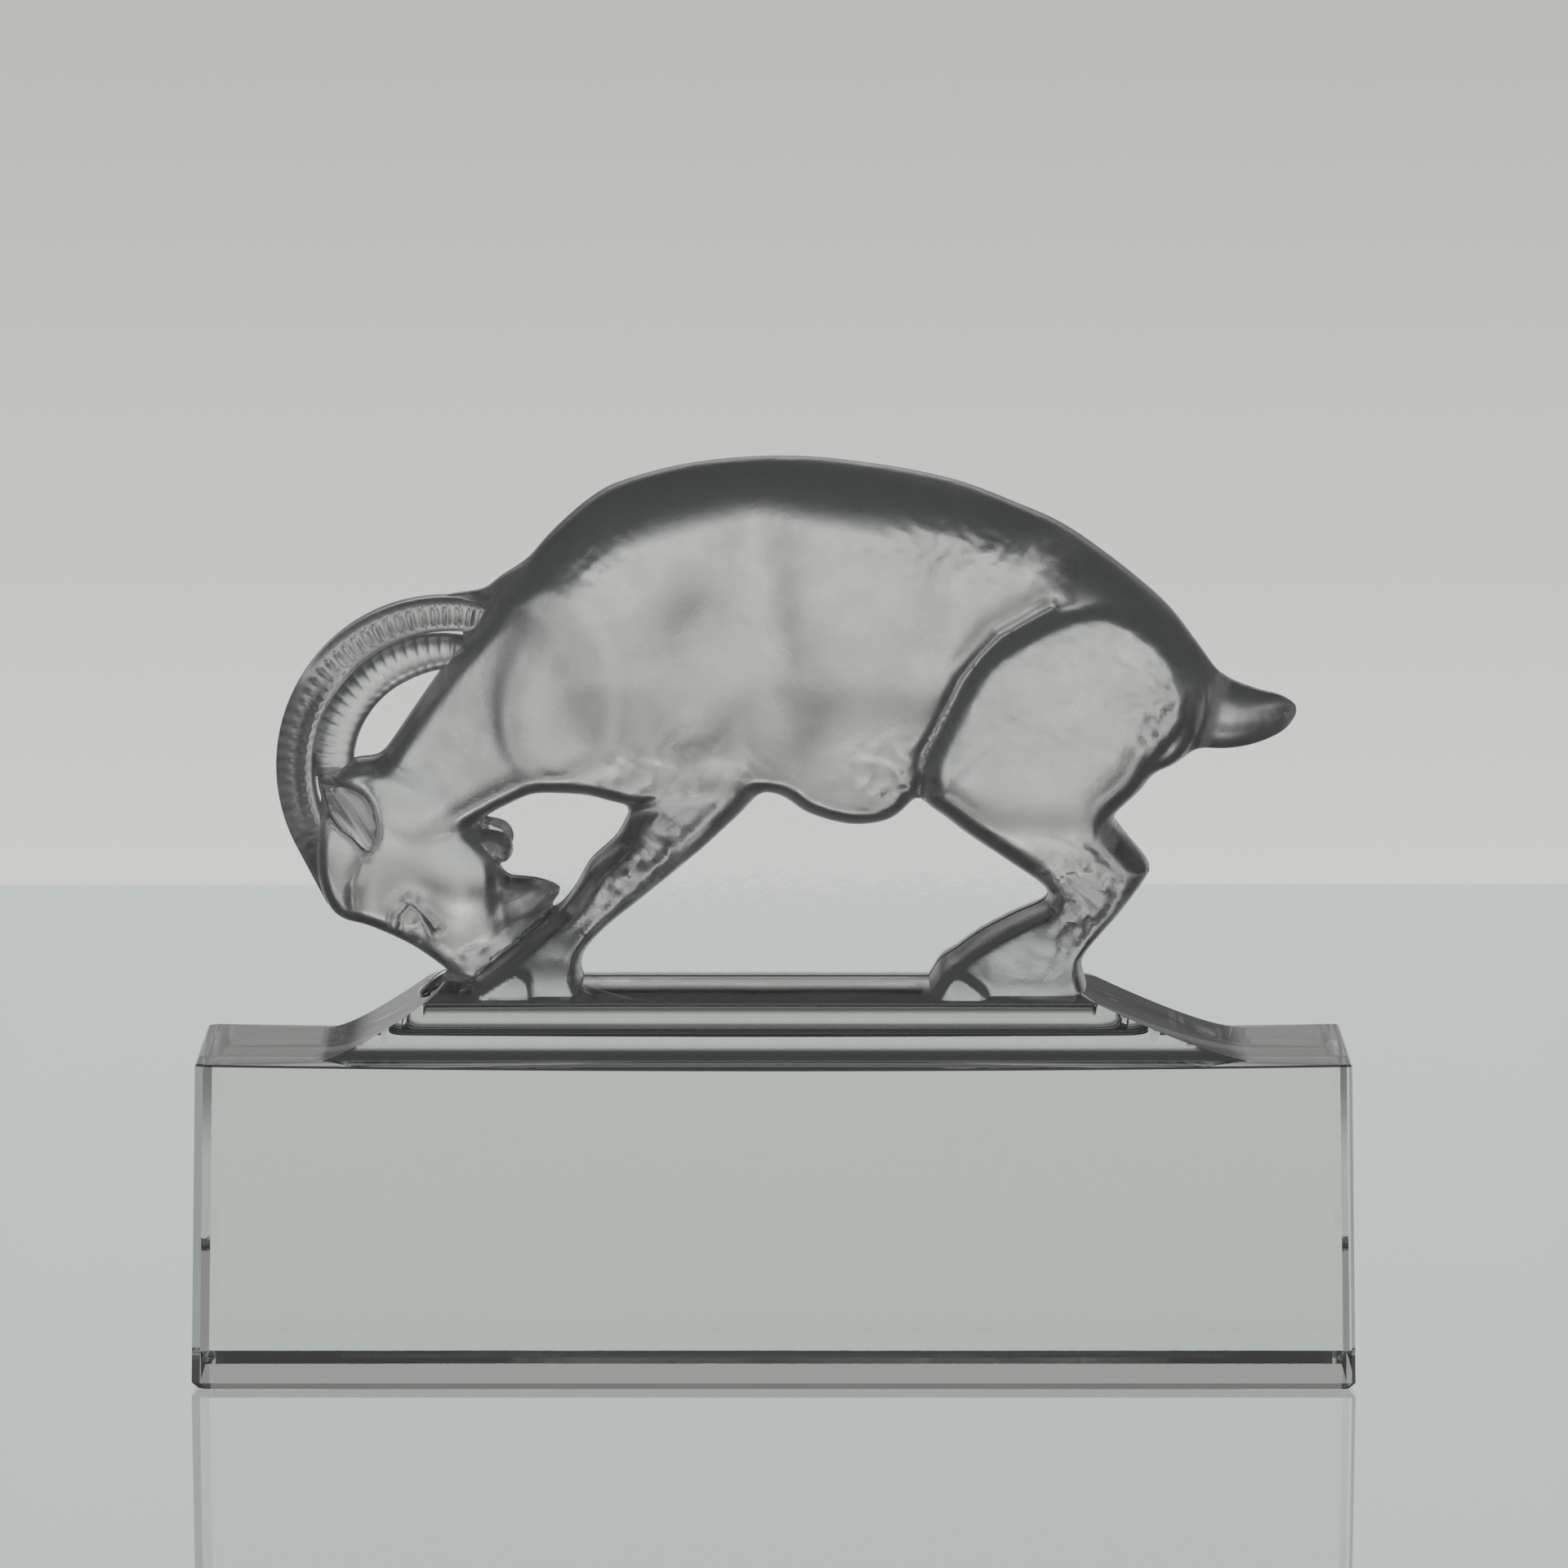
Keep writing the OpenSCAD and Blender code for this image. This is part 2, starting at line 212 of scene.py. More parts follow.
def saddle_section():
    """Half a cross-section, from the ledge to the middle: distance from the middle, and height."""
    turn = np.radians(np.linspace(0, 90, 9))
    foot = [(WALL_Y + FILLET * (1 - math.sin(a)), FILLET * (1 - math.cos(a))) for a in turn]
    arris_y = WALL_Y - WALL_DRAFT
    wall = [(WALL_Y - 0.04, 2.6), (WALL_Y - 0.08, 3.8), (arris_y, ARRIS_H - 0.12),
            (arris_y - 0.05, ARRIS_H - 0.03), (arris_y - 0.16, ARRIS_H + 0.01)]
    across = np.linspace(0.95, 0, 14)
    top = [(arris_y * t, ARRIS_H + CROWN_H * (1 - t * t)) for t in across]
    return np.array(foot + wall + top)


def sweep_height(x):
    """Height of the hollow end sweeps at x; far above the section between the two ends."""
    height = np.full(len(x), 99.0)
    for start, stop in TOP_ENDS.values():
        run = np.clip((x - start) / (stop - start), 0, 1)
        # run = 1 - (left + left^2) / 2, solved for what is left of the height's root
        left = (np.sqrt(9 - 8 * run) - 1) / 2
        past = (x - start) * np.sign(stop - start) >= 0
        height = np.where(past, (ARRIS_H + CROWN_H) * left ** 2, height)
    return height


half_section = saddle_section()
section_y = np.concatenate([-half_section[:, 0], half_section[-2::-1, 0]])
section_z = np.concatenate([half_section[:, 1], half_section[-2::-1, 1]])
ends = [np.linspace(a, b, 56) for a, b in TOP_ENDS.values()]
station_x = np.concatenate([ends[0][::-1], np.linspace(TOP_ENDS["horn"][0], TOP_ENDS["tail"][0], 30)[1:-1],
                            ends[1]])
height = np.minimum(section_z[None, :], sweep_height(station_x)[:, None])
nx, ny = height.shape
rim = (np.arange(nx)[:, None] % (nx - 1) == 0) | (np.arange(ny)[None, :] % (ny - 1) == 0)
height = np.where(rim, 0, np.maximum(height, 0))
saddle_points = np.stack(np.broadcast_arrays(station_x[:, None], section_y[None, :], height + BLOCK_H),
                         -1).reshape(-1, 3)
index = np.arange(nx * ny).reshape(nx, ny)
saddle_faces = [(index[i, j], index[i + 1, j], index[i + 1, j + 1], index[i, j + 1])
                for i in range(nx - 1) for j in range(ny - 1)]
outer_loop = np.concatenate([index[:, 0], index[-1, 1:], index[-2::-1, -1], index[0, -2:0:-1]])
saddle_form = mesh_object("saddle_form", saddle_points, saddle_faces + [outer_loop[::-1]],
                          [SKIN] * len(saddle_faces) + [JOINT])
saddle_form.data.materials.append(polished_glass)
saddle_form.data.materials.append(joint_glass)

# ---------------------------------------------------------------------------------------------
# IBEX. The figure is a relief on both sides of the mid-plane, because the mould opened towards
# the near and the far side: every part is an outline, rounded at its edge and solid inside.
# Points are (x, z) with z counted from the block's top; half is the half thickness at the middle
# and edge is how wide the rounding at the outline is. A side of -1 is near only, 1 is far only.
GRAIN = 0.36                        # size of the sculpting grid
FIGURE_BOX = (-43, -12.3, 3), (49, 12.3, 54.6)


def closed_curve(points, steps=5):
    """A smooth closed outline through given points."""
    p = np.array(points, float)
    a, b, c, d = (np.roll(p, s, 0)[:, None, :] for s in (1, 0, -1, -2))
    t = np.linspace(0, 1, steps, endpoint=False)[None, :, None]
    curve = 2 * b + (c - a) * t + (2 * a - 5 * b + 4 * c - d) * t ** 2 + (3 * b - a - 3 * c + d) * t ** 3
    return curve.reshape(-1, 2) / 2


def distance_to(line, x, z):
    """Distance from each (x, z) to a line of points."""
    best = np.full(x.shape, 1e9)
    for (x0, z0), (x1, z1) in zip(line[:-1], line[1:]):
        dx, dz = x1 - x0, z1 - z0
        t = np.clip(((x - x0) * dx + (z - z0) * dz) / (dx * dx + dz * dz + 1e-12), 0, 1)
        best = np.minimum(best, (x - x0 - t * dx) ** 2 + (z - z0 - t * dz) ** 2)
    return np.sqrt(best)


def depth_inside(outline, x, z):
    """Distance in from a closed outline, negative outside it."""
    inside = np.zeros(x.shape, bool)
    for (x0, z0), (x1, z1) in zip(outline, np.roll(outline, -1, 0)):
        if z0 != z1:
            inside ^= ((z0 > z) != (z1 > z)) & (x < (z - z0) * (x1 - x0) / (z1 - z0) + x0)
    return np.where(inside, 1, -1) * distance_to(np.vstack([outline, outline[:1]]), x, z)


def bump(x, z, cx, cz, rx, rz):
    return np.exp(-((x - cx) / rx) ** 2 - ((z - cz) / rz) ** 2)


def groove(x, z, line, width):
    return np.exp(-(distance_to(np.array(line, float), x, z) / width) ** 2)


def valley(x, z, marks, width):
    """A soft hollow run through marks, which stand closer together than its width."""
    clear = 1.0
    for cx, cz in marks:
        clear = clear * (1 - 0.7 * bump(x, z, cx, cz, width, width * 1.3))
    return 1 - clear


def mottle(x, z, size):
    """The lumpy skin that stiff glass takes in a mould, from -1 to 1."""
    a, b = x / size, z / size
    slow = np.sin(2.1 * a + 1.7 * np.sin(1.3 * b)) * np.sin(1.9 * b + 1.5 * np.sin(1.1 * a + 0.7))
    fast = np.sin(4.3 * a + 2.2 * b + np.sin(3.1 * b)) * np.sin(3.9 * b - 1.7 * a + np.sin(2.7 * a))
    return 0.65 * slow + 0.35 * fast


def rise(v, start, stop):
    t = np.clip((v - start) / (stop - start), 0, 1)
    return t * t * (3 - 2 * t)


relief = []


def add(outline, half, edge, blend, side=0):
    """Adds one part of the relief; half and edge are numbers or functions of x and z."""
    outline = closed_curve(outline)
    relief.append((outline, half, edge, blend, side, outline.min(0), outline.max(0)))


def glass_field(x, y, z):
    """Signed distance to the blended relief, negative in the glass. x and z are columns (n, 1);
    y is a column too, or one row (1, m) that every column shares."""
    field = np.full(np.broadcast_shapes(x.shape, y.shape), 9.0)
    for outline, half, edge, blend, side, low, high in relief:
        reach = 3 + blend
        near = ((x > low[0] - reach) & (x < high[0] + reach)
                & (z > low[1] - reach) & (z < high[1] + reach))[:, 0]
        if not near.any():
            continue
        px, pz = x[near], z[near]
        py = y[near] if len(y) == len(x) else y
        depth = depth_inside(outline, px, pz)
        e = edge(px, pz) if callable(edge) else edge
        h = half(px, pz) if callable(half) else half
        u = np.maximum((e - depth) / e, 0)
        v = np.abs(py) / h
        size = np.sqrt(u * u + v * v) + 1e-6
        part = (size - 1) * size / np.sqrt((u / e) ** 2 + (v / h) ** 2 + 1e-9)
        if side:
            part = np.maximum(part, -side * py)
        old = field[near]
        mix = np.maximum(blend - np.abs(old - part), 0) / blend
        field[near] = np.minimum(old, part) - mix * mix * blend / 4
    return field


# Trunk: shoulder, ribs and loin stand out, with soft valleys between them
add([(-25.0, 36), (-25.2, 40.2), (-24.6, 42.1), (-22.8, 43.8), (-20.6, 46.4), (-18.3, 48.6), (-16.1, 50.3),
     (-13.9, 51.4), (-9.4, 52.7), (-5, 53.4), (-0.5, 53.7), (3.9, 53.6), (8.4, 53.1), (12.8, 52.4),
     (17.3, 51.3), (21.7, 49.6), (26.2, 47.6), (30.6, 44.6), (35.1, 40.9), (37.6, 38), (39.3, 35),
     (39.6, 31.5), (38.4, 28), (36, 25.6), (32.5, 25), (27, 25), (20, 25), (15, 24.6), (13, 22.8),
     (10.6, 20.8), (7.1, 20.3), (3.2, 21.3), (0.4, 23), (-3, 23.2), (-8, 22.4), (-12.8, 22), (-18.4, 23.5),
     (-22, 25), (-24.4, 30)],
    half=lambda x, z: (9.5 + 0.9 * bump(x, z, -13, 41, 7, 9) + 0.9 * bump(x, z, 8, 40, 7.5, 11)
                       + 0.4 * bump(x, z, -9, 27, 5, 5)
                       - 1.25 * valley(x, z, [(-22.4, 38), (-20.8, 33), (-19, 28)], 3.2)
                       - 0.9 * valley(x, z, [(-7.6, 38), (-6.8, 33.5), (-4, 28.5)], 3.4)
                       - 0.9 * valley(x, z, [(-1.3, 47.5), (-1, 42.5), (-0.4, 37.5), (0.6, 32.5)], 3.3)
                       - 0.7 * valley(x, z, [(15.8, 43.5), (15.8, 38)], 3.4)
                       - 1.0 * groove(x, z, [(13.4, 24.5), (13.6, 27.2), (17, 34), (20.5, 38),
                                             (25, 40.6)], 0.8)
                       + mottle(x, z, 1.1) * (0.3 * bump(x, z, -8.5, 22.5, 6, 4.5)
                                              + 0.2 * bump(x, z, 20, 46, 10, 3)
                                              + 0.16 * bump(x, z, -17, 45, 4, 4)
                                              + 0.25 * bump(x, z, 11.5, 24, 4, 4))
                       - 2.0 * rise(-z, -34, -20)),
    edge=lambda x, z: 1.8 + rise(z, 26, 40) * (4.0 - 1.2 * rise(x, 16, 34)), blend=0.8)
# Crest that joins the horns' tips to the withers
add([(-34, 39.4), (-31.5, 40.7), (-28.6, 41.3), (-26.3, 41.7), (-24, 43), (-21, 43.5), (-20, 40), (-24, 37),
     (-29, 38.4)], half=2.6, edge=1.3, blend=1.2)

# Neck, thinner towards the head
add([(-21, 43.4), (-25.5, 40), (-29.2, 35.7), (-31.6, 32.4), (-34.4, 28.3), (-36.4, 25.4), (-37.6, 22),
     (-34, 18.5), (-30.5, 18.6), (-27.2, 20.4), (-24.3, 22), (-21.5, 23.2), (-17.5, 24), (-14, 27), (-14, 35),
     (-17, 41)],
    half=lambda x, z: 5.7 + 2.9 * rise(x, -36, -18), edge=1.9, blend=2.0)

# Head: skull, cheek and muzzle, with brow, eye, nostril and mouth
add([(-39.9, 25.2), (-41.4, 21), (-41.5, 15.8), (-40.5, 12.9), (-39.1, 11.6), (-36.7, 10.9), (-33, 9.2),
     (-30.2, 7.3), (-29.1, 6.3), (-27.2, 5.8), (-25.4, 6.7), (-24.2, 8.4), (-24.2, 11), (-24.8, 14),
     (-24.9, 16.4), (-25.6, 18.4), (-28, 21), (-32, 25), (-36.5, 26.4)],
    half=lambda x, z: (4.3 + 1.7 * rise(z, 7, 19) + 0.5 * bump(x, z, -28.4, 14.5, 2.8, 3)
                       - 0.5 * bump(x, z, -32.7, 12.0, 2.4, 2.4)
                       + 0.5 * bump(x, z, -32.9, 12.0, 0.8, 0.8)
                       + 0.5 * groove(x, z, [(-34.6, 10.6), (-34.2, 12.5), (-33, 14), (-31.7, 12.7),
                                             (-30.6, 11.2)], 0.45)
                       - 0.3 * groove(x, z, [(-34.6, 9.9), (-33, 9.5), (-31.4, 10.2)], 0.5)
                       - 0.5 * groove(x, z, [(-37.2, 17.2), (-38, 15), (-38, 12.4)], 0.6)
                       - 0.3 * groove(x, z, [(-31, 9.4), (-29.6, 8.4), (-28.8, 7.2)], 0.6)
                       - 0.3 * groove(x, z, [(-28, 8.8), (-26.6, 9.3), (-25.4, 10)], 0.45)),
    edge=1.6, blend=1.0)
# Ears: leaves folded down their middle, laid back against the skull
add([(-41.4, 24.8), (-40.8, 21.9), (-39.8, 20.1), (-38.5, 19), (-36.9, 17.6), (-35.6, 18.8), (-35.4, 21),
     (-36.1, 23.2), (-37.6, 24.5), (-39.5, 24.9)],
    half=lambda x, z: 6.9 - 0.55 * groove(x, z, [(-40, 23.6), (-38.2, 21.6), (-36.6, 19)], 0.55),
    edge=0.9, blend=0.35)
# Beard, combed back from the chin
add([(-26, 15.6), (-23.5, 15.5), (-21, 15.2), (-19.4, 14.4), (-20.1, 13.1), (-21.3, 11.4), (-22.9, 9.7),
     (-24.6, 8.4), (-26.4, 8.5), (-27, 12)],
    half=lambda x, z: 4.2 - 0.14 * (1 + np.sin(2.6 * (z - 0.45 * (x + 26)))) - 1.2 * rise(x, -25, -19.5),
    edge=1.3, blend=1.2)
# Wattles, one on each side of the throat, the far one a little higher
for side, lift in ((-1, 0), (1, 1)):
    add([(-27.4, 19.6 + lift), (-25.8, 19.8 + lift), (-24.2, 19.3 + lift), (-23.6, 18 + lift),
         (-24.3, 16.8 + lift), (-25.6, 17 + lift), (-26.8, 18 + lift)],
        half=4.6, edge=1.2, blend=0.4, side=side)

# Forelegs, thrust forward and narrow below the knee
add([(-9, 27), (-12.8, 21.8), (-14.3, 19.2), (-16.6, 17), (-17.9, 14.8), (-19.2, 13), (-21.4, 11.1),
     (-23.5, 9.4), (-25.2, 7.6), (-25.6, 4.4), (-17.4, 4.4), (-17.5, 7.2), (-17, 9), (-15.1, 11.1),
     (-11.7, 13.8), (-8, 16.8), (-5, 19.4), (-1.6, 23.2), (-3, 27)],
    half=lambda x, z: (10.2 - 1.2 * rise(z, 6, 12) - 1.2 * rise(z, 15, 25)
                       + 0.3 * mottle(x, z, 1) * bump(x, z, -12, 17, 5, 6)),
    edge=lambda x, z: 1.3 + 1.1 * rise(z, 10, 20), blend=1.4)
# Fore hooves, standing proud of the legs
add([(-28.3, 4.7), (-27.4, 6.3), (-25.6, 7.7), (-23.8, 8.6), (-22.2, 8.3), (-21.3, 7), (-21.4, 4.4),
     (-25, 4)],
    half=11.5, edge=1.3, blend=0.6)

# Hind legs, alike on both sides
add([(20, 31), (13.2, 24.2), (16.1, 20.6), (21.1, 17.1), (24.4, 14.8), (24.7, 13.4), (21.8, 12), (18.8, 10.4),
     (16.2, 8.5), (14.8, 7.2), (14.6, 4.4), (27.5, 4.4), (28.1, 8.3), (31.6, 12.5), (33.9, 15.6), (34, 16.9),
     (31.6, 19.9), (31.1, 21.4), (34, 24.4), (35, 29), (28, 34)],
    half=lambda x, z: (10.0 - 0.9 * rise(z, 7, 14) + 2.0 * rise(z, 14, 23)
                       + 0.35 * mottle(x, z, 1) * bump(x, z, 27.5, 14, 4.5, 5)),
    edge=lambda x, z: 1.2 + 1.4 * rise(z, 11, 20), blend=1.0)
add([(14.0, 4.7), (14.6, 6.6), (15.6, 8), (17, 8.3), (18.6, 7.4), (19.8, 6.2), (20, 4.4), (17, 4)],
    half=11.6, edge=1.2, blend=0.6)
# Haunch, its front edge a clear crease on the flank
add([(12.9, 25.6), (15.1, 31.5), (18.1, 36.7), (22.6, 39.9), (27.8, 41.9), (32, 41.4), (36, 38.6),
     (38.6, 34), (38.2, 29.3), (34.4, 25.2), (31, 21.6), (26, 19), (20, 20), (15, 22)],
    half=lambda x, z: (10.7 + 0.7 * bump(x, z, 25, 33, 8, 8)
                       + mottle(x, z, 1.2) * (0.2 * bump(x, z, 34.5, 27, 3, 6) + 0.08)),
    edge=2.7, blend=0.5)
# Tail, short and turned up
add([(36, 36.4), (40.6, 34), (41.8, 33.3), (44, 32.5), (46.2, 31.9), (47.5, 30.9), (47.2, 29.7), (46, 28.5),
     (43.6, 27.5), (41, 27.1), (38, 27.2), (35, 27)],
    half=lambda x, z: 4.6 - 1.8 * rise(x, 39, 47), edge=2.4, blend=1.4)


def settle_checkers(values):
    """Where a grid square's corners alternate between glass and air, the weakest corner gives way, so
    that every edge of the mesh has just two faces."""
    for _ in range(6):
        for axis in range(3):
            corners = []
            for du, dv in ((0, 0), (1, 0), (1, 1), (0, 1)):
                pick = [slice(None)] * 3
                for a, d in zip([a for a in range(3) if a != axis], (du, dv)):
                    pick[a] = slice(d, values.shape[a] - 1 + d)
                corners.append((values[tuple(pick)], (du, dv)))
            sign = [c < 0 for c, _ in corners]
            checker = (sign[0] == sign[2]) & (sign[1] == sign[3]) & (sign[0] != sign[1])
            for at in np.argwhere(checker):
                size = [abs(c[tuple(at)]) for c, _ in corners]
                weakest = corners[int(np.argmin(size))]
                weakest[0][tuple(at)] *= -0.01


def sculpt(low, high, grain):
    """Meshes the glass field by surface nets, then settles every point on the true surface."""
    axes = [np.arange(a, b + grain, grain) for a, b in zip(low, high)]
    xz = np.stack(np.meshgrid(axes[0], axes[2], indexing="ij"), -1).reshape(-1, 2)
    values = glass_field(xz[:, :1], axes[1][None, :], xz[:, 1:])
    values = values.reshape(len(axes[0]), len(axes[2]), len(axes[1])).transpose(0, 2, 1)
    settle_checkers(values)
    solid = values < 0
    cells = tuple(n - 1 for n in values.shape)
    total, count = np.zeros(cells + (3,)), np.zeros(cells)
    for axis in range(3):
        u, v = [a for a in range(3) if a != axis]
        for du in (0, 1):
            for dv in (0, 1):
                pick = [slice(None, -1)] * 3
                pick[u], pick[v] = slice(du, cells[u] + du), slice(dv, cells[v] + dv)
                first = tuple(pick)
                pick[axis] = slice(1, None)
                a, b = values[first], values[tuple(pick)]
                cross = (a < 0) != (b < 0)
                t = np.where(cross, a / np.where(cross, a - b, 1), 0)
                total[..., axis] += np.where(cross, t, 0)
                total[..., u] += cross * du
                total[..., v] += cross * dv
                count += cross
    used = count > 0
    number = np.full(cells, -1)
    number[used] = np.arange(used.sum())
    cell = np.argwhere(used)
    points = np.array([a[0] for a in axes]) + grain * (cell + total[used] / count[used][:, None])
    faces = []
    for axis in range(3):
        u, v = (axis + 1) % 3, (axis + 2) % 3
        pick = [slice(1, -1)] * 3
        pick[axis] = slice(0, -1)
        ahead = [slice(1, -1)] * 3
        ahead[axis] = slice(1, None)
        a, b = solid[tuple(pick)], solid[tuple(ahead)]
        for flip, where in ((False, a & ~b), (True, ~a & b)):
            at = np.argwhere(where)
            at[:, u] += 1
            at[:, v] += 1
            quad = []
            for du, dv in ((-1, -1), (0, -1), (0, 0), (-1, 0)):
                c = at.copy()
                c[:, u] += du
                c[:, v] += dv
                quad.append(number[c[:, 0], c[:, 1], c[:, 2]])
            quad = np.stack(quad[::-1] if flip else quad, 1)
            faces.append(quad)
    faces = np.concatenate(faces)
    for _ in range(3):
        here, slope = field_and_slope(points)
        points = points - np.clip(here, -grain, grain)[:, None] * slope
    return points, faces


def field_and_slope(points, step=0.02):
    """The field and its unit gradient at loose points."""
    x, y, z = (points[:, k:k + 1] for k in range(3))
    here = glass_field(x, y, z)
    slope = np.hstack([glass_field(x + step, y, z) - here, glass_field(x, y + step, z) - here,
                       glass_field(x, y, z + step) - here])
    size = np.linalg.norm(slope, axis=1, keepdims=True)
    return here[:, 0] * step / np.maximum(size[:, 0], 1e-9), slope / np.maximum(size, 1e-9)


# The figure's skin: satin, from an acid bath
satin_glass, satin_nodes, satin_shader, satin_skin = glass(
    "satin_glass_skin", (0.975, 0.985, 0.97), ripple_size=0.003, ripple_height=0.00006,
    grain_size=0.00035, grain_height=0.00002, haze_low=0.25, haze_high=0.36, haze_size=0.0025)
# The acid bites the broad faces; the rims, turned away from the sides, were rubbed nearly clear
turned = place(satin_nodes, "ShaderNodeSeparateXYZ",
               {0: place(satin_nodes, "ShaderNodeTexCoord").outputs["Normal"]}).outputs[1]
facing = reckon(satin_nodes, "ABSOLUTE", turned)
rubbed = place(satin_nodes, "ShaderNodeMapRange", {"Value": facing, "From Min": 0.12, "From Max": 0.6,
               "To Min": 0.45, "To Max": 1.0}).outputs[0]
softened = reckon(satin_nodes, "MULTIPLY", satin_skin.outputs["Haze"], rubbed)
satin_nodes.id_data.links.new(softened, satin_shader.inputs["Roughness"])

# ---------------------------------------------------------------------------------------------
# HORNS. Two ridged horns sweep back over the neck in one curl, the inner tucked under the outer,
# and their tips run into the withers. Each is swept along its path and then ringed across its two
# faces, where the mould was cut; the rings are deepest towards the tips.
CURL = (-29.5, 25.5)                # middle of the curl, as x and z above the block
HORNS = {
    "outer": {"radius": 13.95, "tip": 62, "root": 208, "tail": 5.9, "across": 1.78, "thick": 4.0,
              "pitch": 1.06, "band": (-1.15, 0.95), "tip_size": 0.86, "lean": 0.8, "rings": 0.32},
    "inner": {"radius": 10.5, "tip": 64, "root": 181, "tail": 0.6, "across": 1.85, "thick": 3.2,
              "pitch": 0.98, "band": (-0.4, 1.9), "tip_size": 0.72, "lean": 0.12, "rings": 0.13},
}
HORN_STEPS = 300                    # sections along each horn
SECTION_STEPS = 40                  # points round each section
SQUARENESS = 0.66                   # 1 is a plain oval, 0 a box
RING_EASE = (0.7 * MM, 0.4 * MM)    # how softly the rings begin and end across the face


def horn_path(name, radius, tip, root, tail):
    """A line along the middle of a horn, lying flat, from its tip to its root in the head."""
    turn = np.radians(np.linspace(tip, root, 90))
    line = np.column_stack([CURL[0] + radius * np.cos(turn), CURL[1] + radius * np.sin(turn)])
    onward = np.array([-math.sin(turn[-1]), math.cos(turn[-1])])
    line = np.vstack([line, line[-1] + onward * np.linspace(0.2, 1, 8)[:, None] * tail])
    curve = bpy.data.curves.new(name, "CURVE")
    curve.dimensions = "3D"
    spline = curve.splines.new("POLY")
    spline.points.add(len(line) - 1)
    for point, (x, z) in zip(spline.points, line):
        point.co = (x * MM, z * MM, 0, 1)
    path = bpy.data.objects.new(name, curve)
    bpy.context.scene.collection.objects.link(path)
    return path


def between(nodes, value, start, stop, low=0.0, high=1.0):
    """Eases from low to high as value goes from start to stop."""
    return place(nodes, "ShaderNodeMapRange", {0: value, 1: start, 2: stop, 3: low, 4: high},
                 interpolation_type="SMOOTHSTEP").outputs[0]


